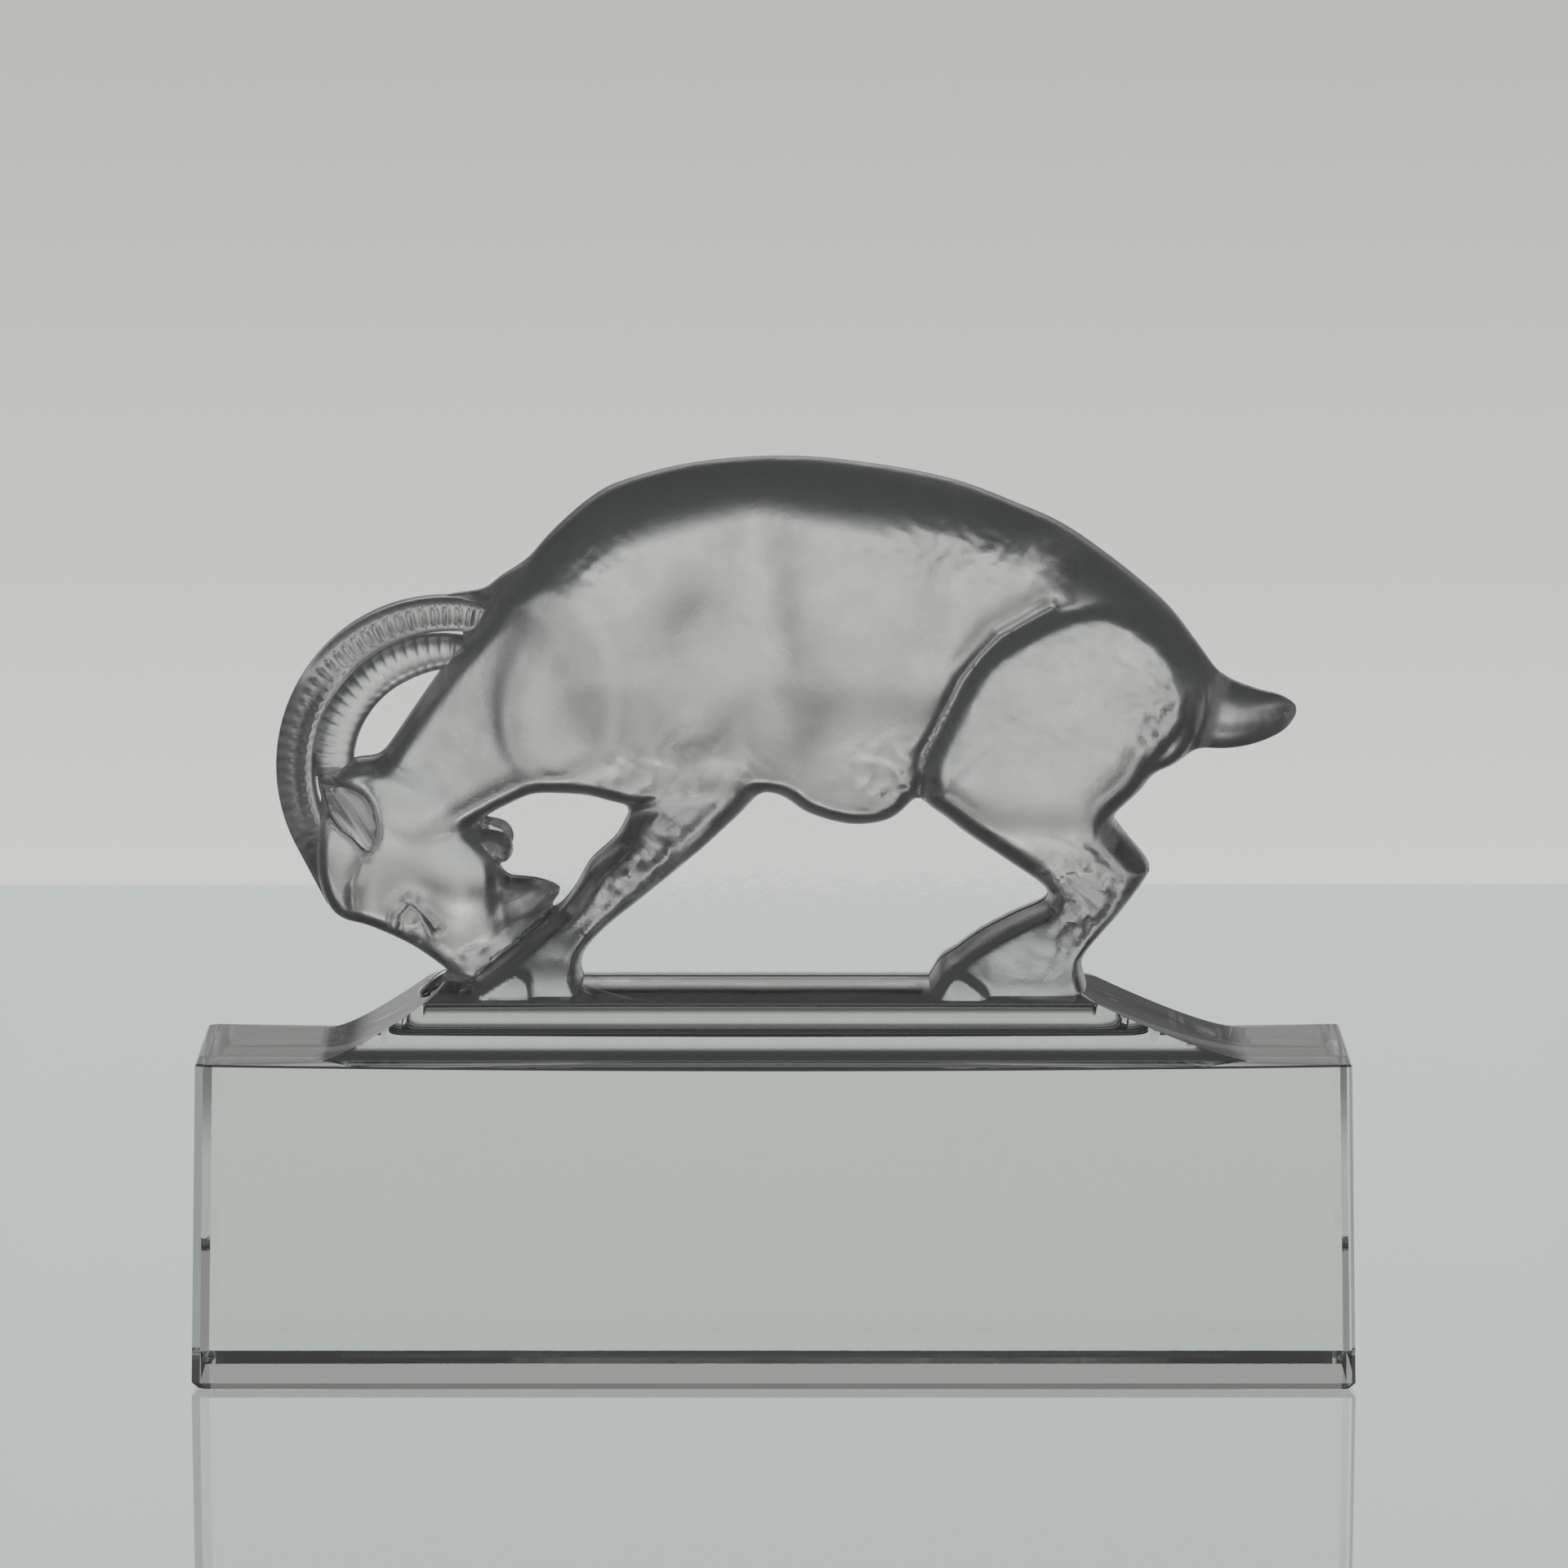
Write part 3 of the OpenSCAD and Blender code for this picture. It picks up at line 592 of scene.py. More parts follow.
def horn_tree():
    """A horn swept along a path that lies flat, ringed on both faces and then stood upright."""
    tree = bpy.data.node_groups.new("ringed_horn", "GeometryNodeTree")
    face = tree.interface
    face.new_socket("Path", in_out="INPUT", socket_type="NodeSocketGeometry")
    for name in ("Curl Radius", "Half Across", "Half Thick", "Tip Size", "Ring Pitch", "Ring Depth",
                 "Ring From", "Ring To", "Root Lean"):
        face.new_socket(name, in_out="INPUT", socket_type="NodeSocketFloat")
    face.new_socket("Samples", in_out="INPUT", socket_type="NodeSocketInt")
    face.new_socket("Glass", in_out="INPUT", socket_type="NodeSocketMaterial")
    face.new_socket("Horn", in_out="OUTPUT", socket_type="NodeSocketGeometry")
    nodes = tree.nodes
    given = nodes.new("NodeGroupInput").outputs

    def where_it_is():
        spot = place(nodes, "GeometryNodeInputPosition").outputs[0]
        return place(nodes, "ShaderNodeSeparateXYZ", {0: spot}).outputs

    # The section: a squared oval, made from a circle
    circle = place(nodes, "GeometryNodeCurvePrimitiveCircle", {0: SECTION_STEPS, 4: 1.0})
    round_spot = where_it_is()
    oval = []
    for axis, size in ((0, given["Half Across"]), (1, given["Half Thick"])):
        raised = reckon(nodes, "POWER", reckon(nodes, "ABSOLUTE", round_spot[axis]), SQUARENESS)
        signed = reckon(nodes, "MULTIPLY", raised, reckon(nodes, "SIGN", round_spot[axis]))
        oval.append(reckon(nodes, "MULTIPLY", signed, size))
    oval = place(nodes, "ShaderNodeCombineXYZ", {0: oval[0], 1: oval[1]}).outputs[0]
    section = place(nodes, "GeometryNodeSetPosition", {0: circle.outputs[0], 2: oval})
    # The path: tapered towards its tip, with the length along it kept for the rings
    walk = place(nodes, "GeometryNodeResampleCurve", {0: given["Path"], 2: given["Samples"]})
    spot = place(nodes, "GeometryNodeSplineParameter").outputs
    grow = between(nodes, spot["Factor"], 0.0, 0.45, given["Tip Size"], 1.0)
    sized = place(nodes, "GeometryNodeSetCurveRadius", {0: walk.outputs[0], 2: grow})
    upright = place(nodes, "GeometryNodeSetCurveNormal", {0: sized.outputs[0]}, mode="Z_UP")
    along = place(nodes, "GeometryNodeCaptureAttribute", domain="POINT")
    along.capture_items.new("FLOAT", "Along")
    along.capture_items.new("FLOAT", "Part")
    tree.links.new(upright.outputs[0], along.inputs[0])
    tree.links.new(spot["Length"], along.inputs[1])
    tree.links.new(spot["Factor"], along.inputs[2])
    sweep = place(nodes, "GeometryNodeCurveToMesh", {0: along.outputs[0], 1: section.outputs[0],
                  "Scale": grow, "Fill Caps": True})
    # How far a point stands out from the horn's middle line, measured from the curl's middle
    here = where_it_is()
    aside = [reckon(nodes, "POWER", reckon(nodes, "SUBTRACT", here[k], CURL[k] * MM), 2.0) for k in (0, 1)]
    reach = reckon(nodes, "SQRT", reckon(nodes, "ADD", *aside))
    across = reckon(nodes, "SUBTRACT", reach, given["Curl Radius"])
    # The rings: soft grooves pressed into the two faces
    turn = reckon(nodes, "FRACT", reckon(nodes, "DIVIDE", along.outputs[1], given["Ring Pitch"]))
    off = reckon(nodes, "DIVIDE", reckon(nodes, "SUBTRACT", turn, 0.5), 0.2)
    groove_at = reckon(nodes, "EXPONENT", reckon(nodes, "MULTIPLY", reckon(nodes, "POWER", off, 2.0), -1.0))
    begun = between(nodes, across, given["Ring From"],
                    reckon(nodes, "ADD", given["Ring From"], RING_EASE[0]))
    ended = between(nodes, across, given["Ring To"],
                    reckon(nodes, "SUBTRACT", given["Ring To"], RING_EASE[1]))
    fade = place(nodes, "ShaderNodeMapRange", {0: along.outputs[2], 1: 0.05, 2: 0.9, 3: 1.0, 4: 0.55})
    depth = reckon(nodes, "MULTIPLY", reckon(nodes, "MULTIPLY", groove_at,
                                             reckon(nodes, "MULTIPLY", begun, ended)),
                   reckon(nodes, "MULTIPLY", fade.outputs[0], given["Ring Depth"]))
    inward = reckon(nodes, "MULTIPLY", depth, reckon(nodes, "MULTIPLY", -1.0,
                                                     reckon(nodes, "SIGN", here[2])))
    # Near the root the outer side thins to an edge, so each face leans outward there
    lean = reckon(nodes, "MULTIPLY", given["Root Lean"], between(nodes, along.outputs[2], 0.38, 0.62))
    outward = place(nodes, "ShaderNodeMapRange",
                    {0: reckon(nodes, "DIVIDE", across, given["Half Across"]), 1: -0.75, 2: 1.0, 3: 0.0,
                     4: 1.0}).outputs[0]
    thinned = reckon(nodes, "MULTIPLY", reckon(nodes, "MULTIPLY", lean, outward),
                     reckon(nodes, "MULTIPLY", here[2], -1.0))
    shift = place(nodes, "ShaderNodeCombineXYZ", {2: reckon(nodes, "ADD", inward, thinned)}).outputs[0]
    pressed = place(nodes, "GeometryNodeSetPosition", {0: sweep.outputs[0], 3: shift})
    # Stood up, from lying flat
    stood = place(nodes, "GeometryNodeTransform", {0: pressed.outputs[0],
                  "Translation": (0, 0, BLOCK_H * MM), "Rotation": (math.pi / 2, 0, 0)})
    real = place(nodes, "GeometryNodeRealizeInstances", {0: stood.outputs[0]})
    skinned = place(nodes, "GeometryNodeSetMaterial", {0: real.outputs[0], 2: given["Glass"]})
    tree.links.new(skinned.outputs[0], nodes.new("NodeGroupOutput").inputs[0])
    return tree


def set_input(modifier, name, value):
    """Sets a tree's named input through the identifier of its socket."""
    for item in modifier.node_group.interface.items_tree:
        if item.in_out == "INPUT" and item.name == name:
            modifier[item.identifier] = value


def as_mesh(name, source):
    """The finished mesh of an object with live modifiers, as a new plain object."""
    seen = source.evaluated_get(bpy.context.evaluated_depsgraph_get())
    mesh = bpy.data.meshes.new_from_object(seen)
    mesh.name = name
    plain = bpy.data.objects.new(name, mesh)
    bpy.context.scene.collection.objects.link(plain)
    bpy.data.objects.remove(source)
    return plain


def make_horn(name, skin):
    size = HORNS[name]
    path = horn_path(name + "_horn_path", size["radius"], size["tip"], size["root"], size["tail"])
    sweep = path.modifiers.new("rings", "NODES")
    sweep.node_group = ringed_horn
    for label, length in (("Curl Radius", size["radius"]), ("Half Across", size["across"]),
                          ("Half Thick", size["thick"]), ("Ring Pitch", size["pitch"]),
                          ("Ring Depth", size["rings"]), ("Ring From", size["band"][0]),
                          ("Ring To", size["band"][1])):
        set_input(sweep, label, length * MM)
    for label, value in (("Tip Size", size["tip_size"]), ("Root Lean", size["lean"]),
                         ("Samples", HORN_STEPS), ("Glass", skin)):
        set_input(sweep, label, value)
    return as_mesh(name + "_horn_form", path)


ringed_horn = horn_tree()
horn_forms = {name: make_horn(name, satin_glass) for name in HORNS}

# ---------------------------------------------------------------------------------------------
# WEBS. Thin clear plates left between the limbs, so that the figure could be pressed in one: under
# the belly, under the throat, and inside the curl of the horns. A small clear bridge carries the
# muzzle on the saddle. All are cast with the figure and run into it.
WEB_HALF = 1.0
SHARP_ANGLE = 38                    # edges of the casting bent further than this stay crisp
belly_web = [(-19.5, 3), (-18.6, 9), (-11.5, 17.5), (-5, 24), (0, 26), (8, 24), (13, 26), (17.5, 22),
             (24, 17.5), (27.5, 14.5), (22, 10), (17, 6.5), (17, 3)]
throat_web = [(-20.5, 10.5), (-24, 8.8), (-26, 12), (-26, 18), (-27, 21.5), (-22, 25.5), (-15, 25),
              (-10.5, 21), (-14.5, 15)]
curl_turn = np.radians(np.linspace(66, 186, 40))
horn_web = [(CURL[0] + 13.6 * math.cos(a), CURL[1] + 13.6 * math.sin(a)) for a in curl_turn]
horn_web += [(-38, 25), (-33, 24), (-28, 30), (-25, 36)]
muzzle_bridge = [(-31.7, 4.4), (-31.5, 5.7), (-30.4, 6.6), (-29.5, 6.9), (-27, 7.6), (-24.5, 8.5),
                 (-22.5, 8), (-22, 4.4)]
BRIDGE_HALF, BRIDGE_EDGE = 4.2, 1.3
# They keep the mould's fine ripple, as no acid or wheel reached them
web_glass = glass("web_glass", (0.985, 0.99, 0.983), ripple_size=0.0014, ripple_height=0.000008,
                  grain_size=0.0004, grain_height=0.000003, haze_low=0.02, haze_high=0.07,
                  haze_size=0.002)[0]


def prism(name, outline, low, high, skin):
    """An outline in x and z, made solid from low to high in y."""
    flat = np.array(outline, float)
    if ((np.roll(flat, -1, 0)[:, 0] - flat[:, 0]) * (np.roll(flat, -1, 0)[:, 1] + flat[:, 1])).sum() < 0:
        flat = flat[::-1]
    n = len(flat)
    points = [(x, y, z + BLOCK_H) for y in (low, high) for x, z in flat]
    faces = [(i, i + n, (i + 1) % n + n, (i + 1) % n) for i in range(n)]
    faces += [list(range(n)), list(range(2 * n - 1, n - 1, -1))]
    solid = mesh_object(name, points, [f[::-1] for f in faces], [0] * len(faces))
    solid.data.materials.append(skin)
    return solid


def pillow(name, outline, half, edge, skin):
    """An outline made solid, its long edges rounded over towards both faces."""
    flat = closed_curve(outline, 4)
    if ((np.roll(flat, -1, 0)[:, 0] - flat[:, 0]) * (np.roll(flat, -1, 0)[:, 1] + flat[:, 1])).sum() > 0:
        flat = flat[::-1]
    out = np.roll(flat, -1, 0) - np.roll(flat, 1, 0)
    out = np.column_stack([out[:, 1], -out[:, 0]]) / np.linalg.norm(out, axis=1)[:, None]
    rings = []
    for a in np.radians(np.linspace(-80, 80, 17)):
        ring = flat - out * edge * (1 - math.cos(a))
        rings.append(np.column_stack([ring[:, 0], np.full(len(ring), half * math.sin(a)), ring[:, 1]
                                      + BLOCK_H]))
    points, faces = stack_rings(rings)
    solid = mesh_object(name, points, faces, [0] * len(faces))
    solid.data.materials.append(skin)
    return solid


def combine(base, other, operation, keep=()):
    """Joins, cuts or meets two closed solids, each face keeping its own material, and clears away the
    two unless they are to be kept."""
    step = base.modifiers.new("cast", "BOOLEAN")
    step.solver, step.operation, step.material_mode = "MANIFOLD", operation, "TRANSFER"
    step.object = other
    seen = base.evaluated_get(bpy.context.evaluated_depsgraph_get())
    mesh = bpy.data.meshes.new_from_object(seen)
    base.modifiers.remove(step)
    result = bpy.data.objects.new(base.name, mesh)
    bpy.context.scene.collection.objects.link(result)
    result.name = base.name
    for used in (base, other):
        if used not in keep:
            bpy.data.objects.remove(used)
    return result


ibex_points, ibex_faces = sculpt(*FIGURE_BOX, GRAIN)
ibex_points[:, 2] += BLOCK_H
casting = mesh_object("casting", ibex_points, ibex_faces, [0] * len(ibex_faces))
casting.data.materials.append(satin_glass)
for form in (saddle_form, horn_forms["outer"], horn_forms["inner"],
             prism("belly_form", belly_web, -WEB_HALF, WEB_HALF, web_glass),
             prism("throat_form", throat_web, -WEB_HALF, WEB_HALF, web_glass),
             prism("curl_form", horn_web, -WEB_HALF, WEB_HALF, web_glass),
             pillow("bridge_form", muzzle_bridge, BRIDGE_HALF, BRIDGE_EDGE, web_glass)):
    casting = combine(casting, form, "UNION", keep=(saddle_form,))
casting.data.set_sharp_from_angle(angle=math.radians(SHARP_ANGLE))

# ---------------------------------------------------------------------------------------------
# PARTS OF THE CASTING. The figure came from the mould as one body; here it is parted where its
# named parts meet, each cut face a clear joint. Every part keeps the casting's own smooth shading,
# so the light passes as through one piece of glass.
curl_out = np.radians(np.linspace(66.5, 207, 60))
horn_split = [(CURL[0] + 12.19 * math.cos(a), CURL[1] + 12.19 * math.sin(a))
              for a in np.radians(np.linspace(190, 64, 50))]
inner_edge = [(CURL[0] + 8.7 * math.cos(a), CURL[1] + 8.7 * math.sin(a))
              for a in np.radians(np.linspace(84, 180, 40))]
WHERE = [
    ("near_ear", [(-41.7, 25.1), (-41.2, 21.6), (-40.1, 19.8), (-38.4, 18.5), (-36.7, 17.2),
     (-35.2, 18.6), (-35.1, 21.2), (-35.9, 23.5), (-37.6, 24.9), (-39.5, 25.2)], -14, -5.4),
    ("far_ear", None, 5.4, 14),
    ("near_wattle", [(-27.6, 19.9), (-25.8, 20.3), (-24, 19.8), (-23.3, 18), (-24.2, 16.5),
     (-25.7, 16.6), (-27, 17.8)], -14, -1.02),
    ("far_wattle", [(-27.6, 20.9), (-25.8, 21.3), (-24, 20.8), (-23.3, 19), (-24.2, 17.5),
     (-25.7, 17.6), (-27, 18.8)], 1.02, 14),
    ("beard", [(-24.75, 15.9), (-23.5, 15.75), (-21, 15.45), (-19.1, 14.5), (-19.8, 12.95),
     (-21.4, 11.15), (-23.3, 9.6), (-24.3, 8.9), (-24.5, 12)], -14, 14),
    ("muzzle_bridge", [(-33, 3), (-33, 6), (-31, 7.3), (-28.9, 6.5), (-27.2, 6.2),
     (-26, 6.9), (-25.2, 7.6), (-24, 8), (-22, 8.5), (-21, 3)], -14, 14),
    ("outer_horn", [(CURL[0] + 18 * math.cos(a), CURL[1] + 18 * math.sin(a))
     for a in curl_out] + [(-42, 9.5), (-39.9, 11.2), (-38.3, 12.4), (-39, 15.5), (-40.7, 19.6), (-41.6, 22)]
     + horn_split + [(-23.9, 38.6)], -14, 14),
    ("inner_horn", horn_split[::-1][2:-4] + [(-41.5, 24.6), (-39.3, 25.3), (-38.1, 25.4)]
     + inner_edge[::-1] + [(-27.4, 36.4), (-24.2, 38)], -14, 14),
    ("horn_web", inner_edge + [(-38.1, 25.2), (-37.2, 24.9), (-36.6, 25.6), (-34.7, 28.3),
     (-31.9, 32.4), (-29.5, 35.7), (-28.4, 36.3)], -14, 14),
    ("near_foreleg", [(-13.2, 21.6), (-10.5, 26.5), (-5, 27.5), (-1.5, 23.2), (-5, 19.2),
     (-11.6, 13.6), (-16.9, 9), (-17.3, 7.2), (-17, 3), (-34, 3), (-30, 7.4), (-23.4, 9.6), (-21.5, 11.2),
     (-19.3, 13.1), (-18, 14.9), (-16.8, 17.1), (-14.5, 19.4)], -14, 0),
    ("far_foreleg", None, 0, 14),
    ("near_hind_leg", [(13, 22.9), (13, 25.4), (15, 30.5), (18, 35.7), (22.6, 38.8), (28, 40.4),
     (32.5, 38), (35.6, 33.5), (36.6, 30), (36.9, 28), (40, 25.5), (38, 12), (29, 3), (13.7, 3), (13.8, 5.5),
     (14.5, 7.4), (16, 8.7), (18.6, 10.6), (21.6, 12.2), (24.4, 13.5), (24.2, 14.6), (20.9, 16.9),
     (15.9, 20.4)], -14, 0),
    ("far_hind_leg", None, 0, 14),
    ("tail", [(38.6, 38), (37.7, 36.4), (37.6, 34.5), (38.4, 31), (37.6, 28.4), (36.9, 27.2),
     (37, 25), (50, 25), (50, 38)], -14, 14),
    ("belly_web", [(-17.2, 3), (-17.4, 9), (-11.6, 13.7), (-5, 19.3), (-1.3, 23), (13, 22.9),
     (16, 20.4), (24.5, 14.4), (14, 5), (13.9, 3)], -1.01, 1.01),
    ("throat_web", [(-13.1, 21.6), (-18.2, 22.9), (-21.5, 22.7), (-24, 21.4), (-24.8, 20.6),
     (-25.3, 18.5), (-24.6, 16), (-19, 14.4), (-20, 12.4), (-24, 8.4), (-13, 15)], -1.01, 1.01),
    ("head", [(-42.5, 27), (-38, 26.3), (-34.8, 25), (-27, 20.4), (-24.6, 17.5), (-24.1, 9),
     (-26.5, 3), (-34, 3), (-45, 10), (-46, 18)], -14, 14),
    ("neck", [(-24.5, 46), (-23, 36), (-19.2, 28.5), (-18.2, 16), (-60, 16), (-60, 46)], -14, 14),
]


def polygon_corners(mesh):
    """For each polygon its corner positions and the smooth normals there."""
    normals = np.empty(len(mesh.loops) * 3, np.float32)
    mesh.corner_normals.foreach_get("vector", normals)
    normals = normals.reshape(-1, 3)
    spots = np.empty(len(mesh.vertices) * 3, np.float32)
    mesh.vertices.foreach_get("co", spots)
    return spots.reshape(-1, 3), [list(p.vertices) for p in mesh.polygons], normals


def keep_shading(piece):
    """Gives a cut part, along its cuts, the smooth shading that the whole casting has there."""
    mesh = piece.data
    mesh.set_sharp_from_angle(angle=math.radians(SHARP_ANGLE))
    spots, polygons, normals = polygon_corners(mesh)
    cut = [mesh.materials[p.material_index] is joint_glass for p in mesh.polygons]
    on_cut = {v for p, is_cut in zip(polygons, cut) if is_cut for v in p}
    for polygon, is_cut in zip(mesh.polygons, cut):
        if is_cut:
            normals[polygon.loop_start:polygon.loop_start + polygon.loop_total] = polygon.normal
            continue
        for k, v in zip(polygon.loop_indices, polygon.vertices):
            if v in on_cut:
                at, facing, number, _ = cast_tree.find_nearest(Vector(spots[v]).lerp(polygon.center, 0.05))
                if facing.dot(polygon.normal) > 0.8:
                    corners = [Vector(cast_spots[c]) for c in cast_polygons[number]]
                    weights = np.array(poly_3d_calc(corners, at))
                    first = cast_starts[number]
                    normals[k] = weights @ cast_normals[first:first + len(corners)]
    mesh.normals_split_custom_set(normals.tolist())


def finish_part(piece, node):
    """Names a finished part, drops the materials it doesn't use, hangs it on the root body and hides the part
    of model.glb it stands for.
    """
    keep_shading(piece)
    used = sorted({p.material_index for p in piece.data.polygons})
    kept = [piece.data.materials[k] for k in used]
    numbers = np.empty(len(piece.data.polygons), np.int32)
    piece.data.polygons.foreach_get("material_index", numbers)
    piece.data.materials.clear()
    for material in kept:
        piece.data.materials.append(material)
    piece.data.polygons.foreach_set("material_index", np.searchsorted(used, numbers).astype(np.int32))
    piece.name = piece.data.name = "cast_" + node
    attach(piece, "root")
    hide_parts(node)


cast_spots, cast_polygons, cast_normals = polygon_corners(casting.data)
cast_starts = [p.loop_start for p in casting.data.polygons]
cast_tree = BVHTree.FromPolygons(cast_spots.tolist(), cast_polygons)

# The saddle parts first, by a copy of itself a hair larger, so that it keeps all its own skin
SADDLE_GROWTH = (1.002, 1.004)      # lengthwise and across
over_saddle = saddle_form
spots = np.empty(len(over_saddle.data.vertices) * 3)
over_saddle.data.vertices.foreach_get("co", spots)
spots = spots.reshape(-1, 3) / MM
middle = spots.mean(0)
spots[:, :2] = middle[:2] + (spots[:, :2] - middle[:2]) * SADDLE_GROWTH
spots[:, 2] += np.where(spots[:, 2] < BLOCK_H + 1e-3, -1, 0.02)
over_saddle.data.vertices.foreach_set("co", (spots * MM).ravel())
over_saddle.data.materials.clear()
over_saddle.data.materials.append(joint_glass)
over_saddle.data.polygons.foreach_set("material_index", [0] * len(over_saddle.data.polygons))
over_saddle.data.update()
finish_part(combine(casting, over_saddle, "INTERSECT", keep=(casting, over_saddle)), "saddle")
rest = combine(casting, over_saddle, "DIFFERENCE")
outline = None
for node, corners, low, high in WHERE:
    outline = corners or outline
    region = prism("region", outline, low, high, joint_glass)
    finish_part(combine(rest, region, "INTERSECT", keep=(rest, region)), node)
    rest = combine(rest, region, "DIFFERENCE")
finish_part(rest, "trunk")

# ---------------------------------------------------------------------------------------------
# STUDIO. A pale, faintly glossy table that ends some way behind the object; beyond it a bright
# wall, dark flags to its left and right, and a soft glow from the front and the sides. Glass is
# seen by what lies behind it, so the room is painted by direction rather than lit with lamps.
# Sizes are in metres here.
TABLE_HALF, TABLE_NEAR, TABLE_FAR = 0.9, -1.25, 0.425
TABLE_SKEW = 0.004                  # its far edge is not quite square to the view
TABLE_GAP = 0.00005                 # keeps its face clear of the block's foot
# The table is no lamp: its glow, shaped below, is painted light
TABLE_GLOW = 0.345
# BLOCK_SHADE marks a painted contact shadow on the table, where there is no glow under the block
BLOCK_SHADE = ((0.051, 0.053), (0.015, 0.017))      # no glow under the block: lengthwise, across
STRIP_EDGE = (0.1, 0.17)            # the lit strip's half width, and where it has faded
STRIP_REST, FRONT_GLOW = 0.15, 0.4  # the glow beside the strip, and before the object

table_mesh = bpy.data.meshes.new("table")
table_mesh.from_pydata([(-TABLE_HALF, TABLE_NEAR, 0), (TABLE_HALF, TABLE_NEAR, 0),
                        (TABLE_HALF, TABLE_FAR + TABLE_SKEW, 0), (-TABLE_HALF, TABLE_FAR - TABLE_SKEW, 0)],
                       [], [(0, 1, 2, 3)])
table = bpy.data.objects.new("table", table_mesh)
table.location.z = -TABLE_GAP
bpy.context.scene.collection.objects.link(table)
table_skin = bpy.data.materials.new("pale_table")
table_skin.use_nodes = True
table_nodes = table_skin.node_tree.nodes
table_shader = table_nodes["Principled BSDF"]
table_shader.inputs["Base Color"].default_value = (0.2, 0.21, 0.208, 1)
table_shader.inputs["IOR"].default_value = 1.45
table_shader.inputs["Roughness"].default_value = 0.04
table_shader.inputs["Emission Strength"].default_value = TABLE_GLOW


def mix_light(nodes, share, low, high, **settings):
    """A colour between low and high; each is a colour or another node's output."""
    return place(nodes, "ShaderNodeMix", {0: share, 6: low, 7: high}, data_type="RGBA", **settings).outputs[2]


# The table's glow is painted light. Behind the object it glows in a strip (a painted pool of the wall's
# light) and only at low angles (a painted sheen), and not under the block (a painted contact shadow);
# before the object it glows evenly, and seen straight by the camera it is evenly pale
spot = place(table_nodes, "ShaderNodeTexCoord").outputs["Object"]
spot = place(table_nodes, "ShaderNodeSeparateXYZ", {0: spot})
aside = reckon(table_nodes, "ABSOLUTE", spot.outputs[0])
ahead = reckon(table_nodes, "ABSOLUTE", spot.outputs[1])
# No glow under the block: a painted contact shadow
outside_painted_shadow = reckon(table_nodes, "MAXIMUM", between(table_nodes, aside, *BLOCK_SHADE[0]),
                      between(table_nodes, ahead, *BLOCK_SHADE[1]))
slant = place(table_nodes, "ShaderNodeLayerWeight", {"Blend": 0.5}).outputs["Facing"]
# A painted sheen: the glow is strong only where the table is seen at a low angle
painted_low_angle_sheen = between(table_nodes, slant, 0.7, 0.86, 0.12, 1.0)
# A painted strip of the wall's light, fainter to either side
painted_light_strip = between(table_nodes, aside, *STRIP_EDGE, 1.0, STRIP_REST)
glowing = reckon(table_nodes, "MULTIPLY", reckon(table_nodes, "MULTIPLY", painted_low_angle_sheen, painted_light_strip), outside_painted_shadow)
in_front = between(table_nodes, spot.outputs[1], -0.02, -0.05, 0.0, FRONT_GLOW)
glowing = reckon(table_nodes, "MAXIMUM", glowing, in_front)
straight = place(table_nodes, "ShaderNodeLightPath").outputs["Is Camera Ray"]
lit = mix_light(table_nodes, reckon(table_nodes, "MAXIMUM", glowing, straight), (0, 0, 0, 1),
                (0.93, 1.0, 0.985, 1))
table_skin.node_tree.links.new(lit, table_shader.inputs["Emission Color"])
table_mesh.materials.append(table_skin)

world = bpy.data.worlds.new("studio")
bpy.context.scene.world = world
world.use_nodes = True
sky = world.node_tree.nodes
look = place(sky, "ShaderNodeSeparateXYZ", {0: place(sky, "ShaderNodeTexCoord").outputs["Generated"]})


def glow(stops):
    """Brightness by height: stops are (height of the direction, brightness)."""
    ramp = place(sky, "ShaderNodeValToRGB", {0: place(sky, "ShaderNodeMapRange",
                 {"Value": look.outputs[2], "From Min": -1.0, "From Max": 1.0}).outputs[0]})
    ramp.color_ramp.interpolation = "LINEAR"
    while len(ramp.color_ramp.elements) < len(stops):
        ramp.color_ramp.elements.new(1.0)
    for element, (height, light) in zip(ramp.color_ramp.elements, stops):
        element.position = (height + 1) / 2
    for element, (height, light) in zip(ramp.color_ramp.elements, stops):
        element.color = (light, light, light, 1)
    return ramp.outputs[0]


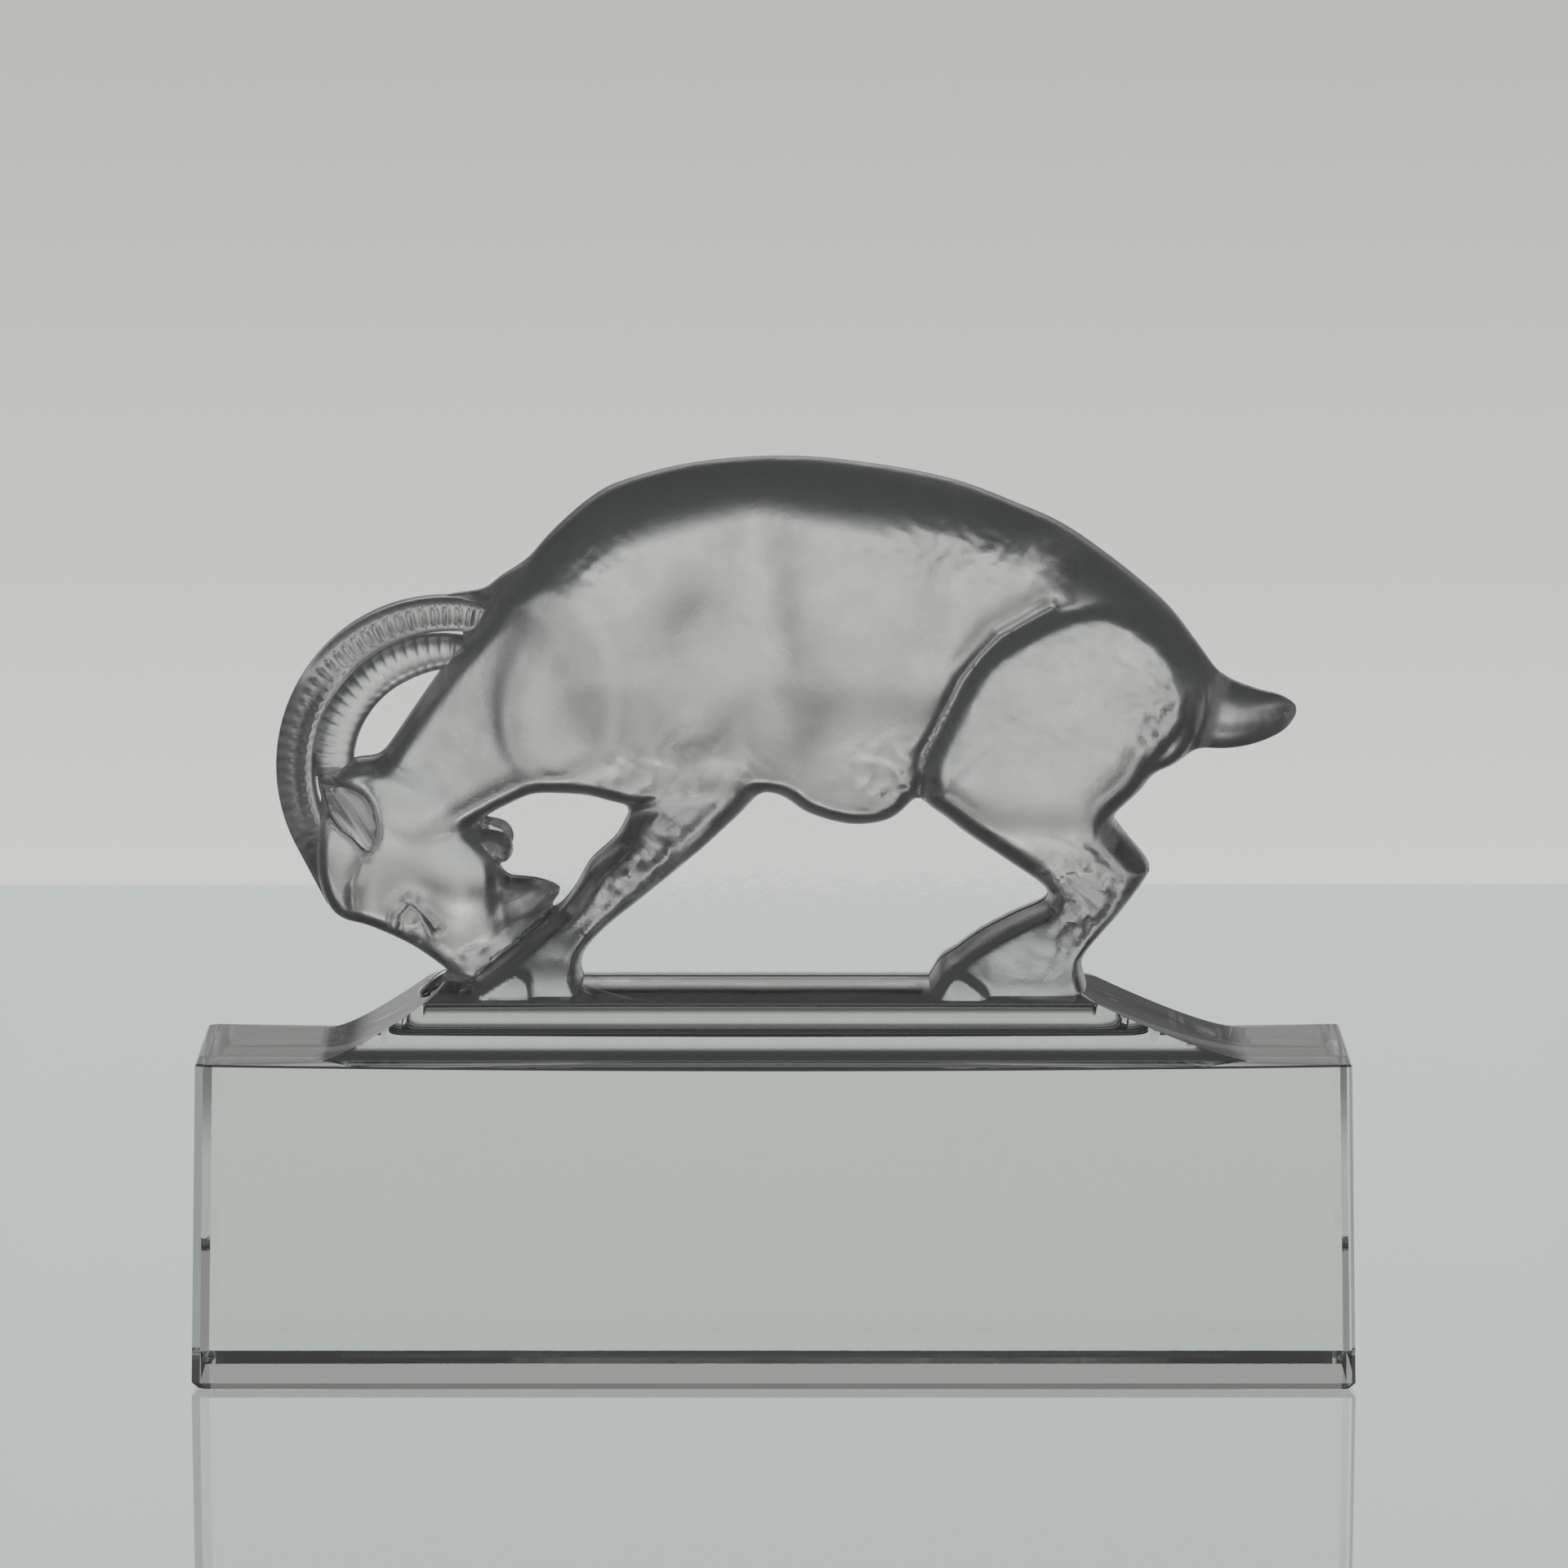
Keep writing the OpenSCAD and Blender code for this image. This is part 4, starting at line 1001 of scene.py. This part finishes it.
outward = reckon(sky, "ABSOLUTE", look.outputs[0])
behind = between(sky, look.outputs[1], 0.915, 0.972)
before = between(sky, look.outputs[1], -0.05, -0.5)
sideways = between(sky, outward, 0.85, 0.95)
wall = glow([(-1, 0.05), (-0.35, 0.5), (-0.105, 0.6), (-0.043, 0.49), (0.02, 0.45), (0.1, 0.36),
             (0.17, 0.4), (0.23, 0.95), (0.31, 0.8), (0.36, 0.1), (1, 0.03)])
# Above the line of sight the wall is masked off just beyond the object's ends
masked = between(sky, outward, 0.05, 0.085)
for edge in ((0.03, 0.055), (0.19, 0.14)):
    masked = reckon(sky, "MULTIPLY", masked, between(sky, look.outputs[2], *edge))
wall = mix_light(sky, masked, wall, (0.13, 0.13, 0.13, 1))
flags = glow([(-1, 0.038), (0.1, 0.038), (1, 0.03)])
front = glow([(-1, 0.2), (0, 0.3), (0.35, 0.26), (0.6, 0.16), (1, 0.05)])
room = mix_light(sky, behind, mix_light(sky, sideways, flags, front), wall)
room = mix_light(sky, before, room, front)
# The camera itself sees pale paper on every other side
straight = place(sky, "ShaderNodeLightPath").outputs["Is Camera Ray"]
paper = mix_light(sky, straight, room, (0.5, 0.5, 0.5, 1))
room = mix_light(sky, behind, paper, room)
tinted = mix_light(sky, 1.0, room, (1.0, 0.995, 0.985, 1), blend_type="MULTIPLY")
world.node_tree.links.new(tinted, sky["Background"].inputs["Color"])

camera_data = bpy.data.cameras.new("camera")
camera_data.lens = 339
camera_data.sensor_width = 36
camera_data.clip_start = 0.01
camera_data.clip_end = 50
camera = bpy.data.objects.new("camera", camera_data)
camera.location = (0.00095, -1.3365, 0.183)
aim = Vector((0.00095, -0.0165, 0.0549)) - camera.location
camera.rotation_euler = aim.to_track_quat("-Z", "Y").to_euler()
bpy.context.scene.collection.objects.link(camera)
bpy.context.scene.camera = camera

# Light crosses many faces of glass before it leaves
scene = bpy.context.scene
scene.view_settings.view_transform = "Standard"
scene.cycles.max_bounces = 24
scene.cycles.transmission_bounces = 20
scene.cycles.transparent_max_bounces = 48
scene.cycles.glossy_bounces = 8
scene.cycles.caustics_reflective = True
scene.cycles.caustics_refractive = True
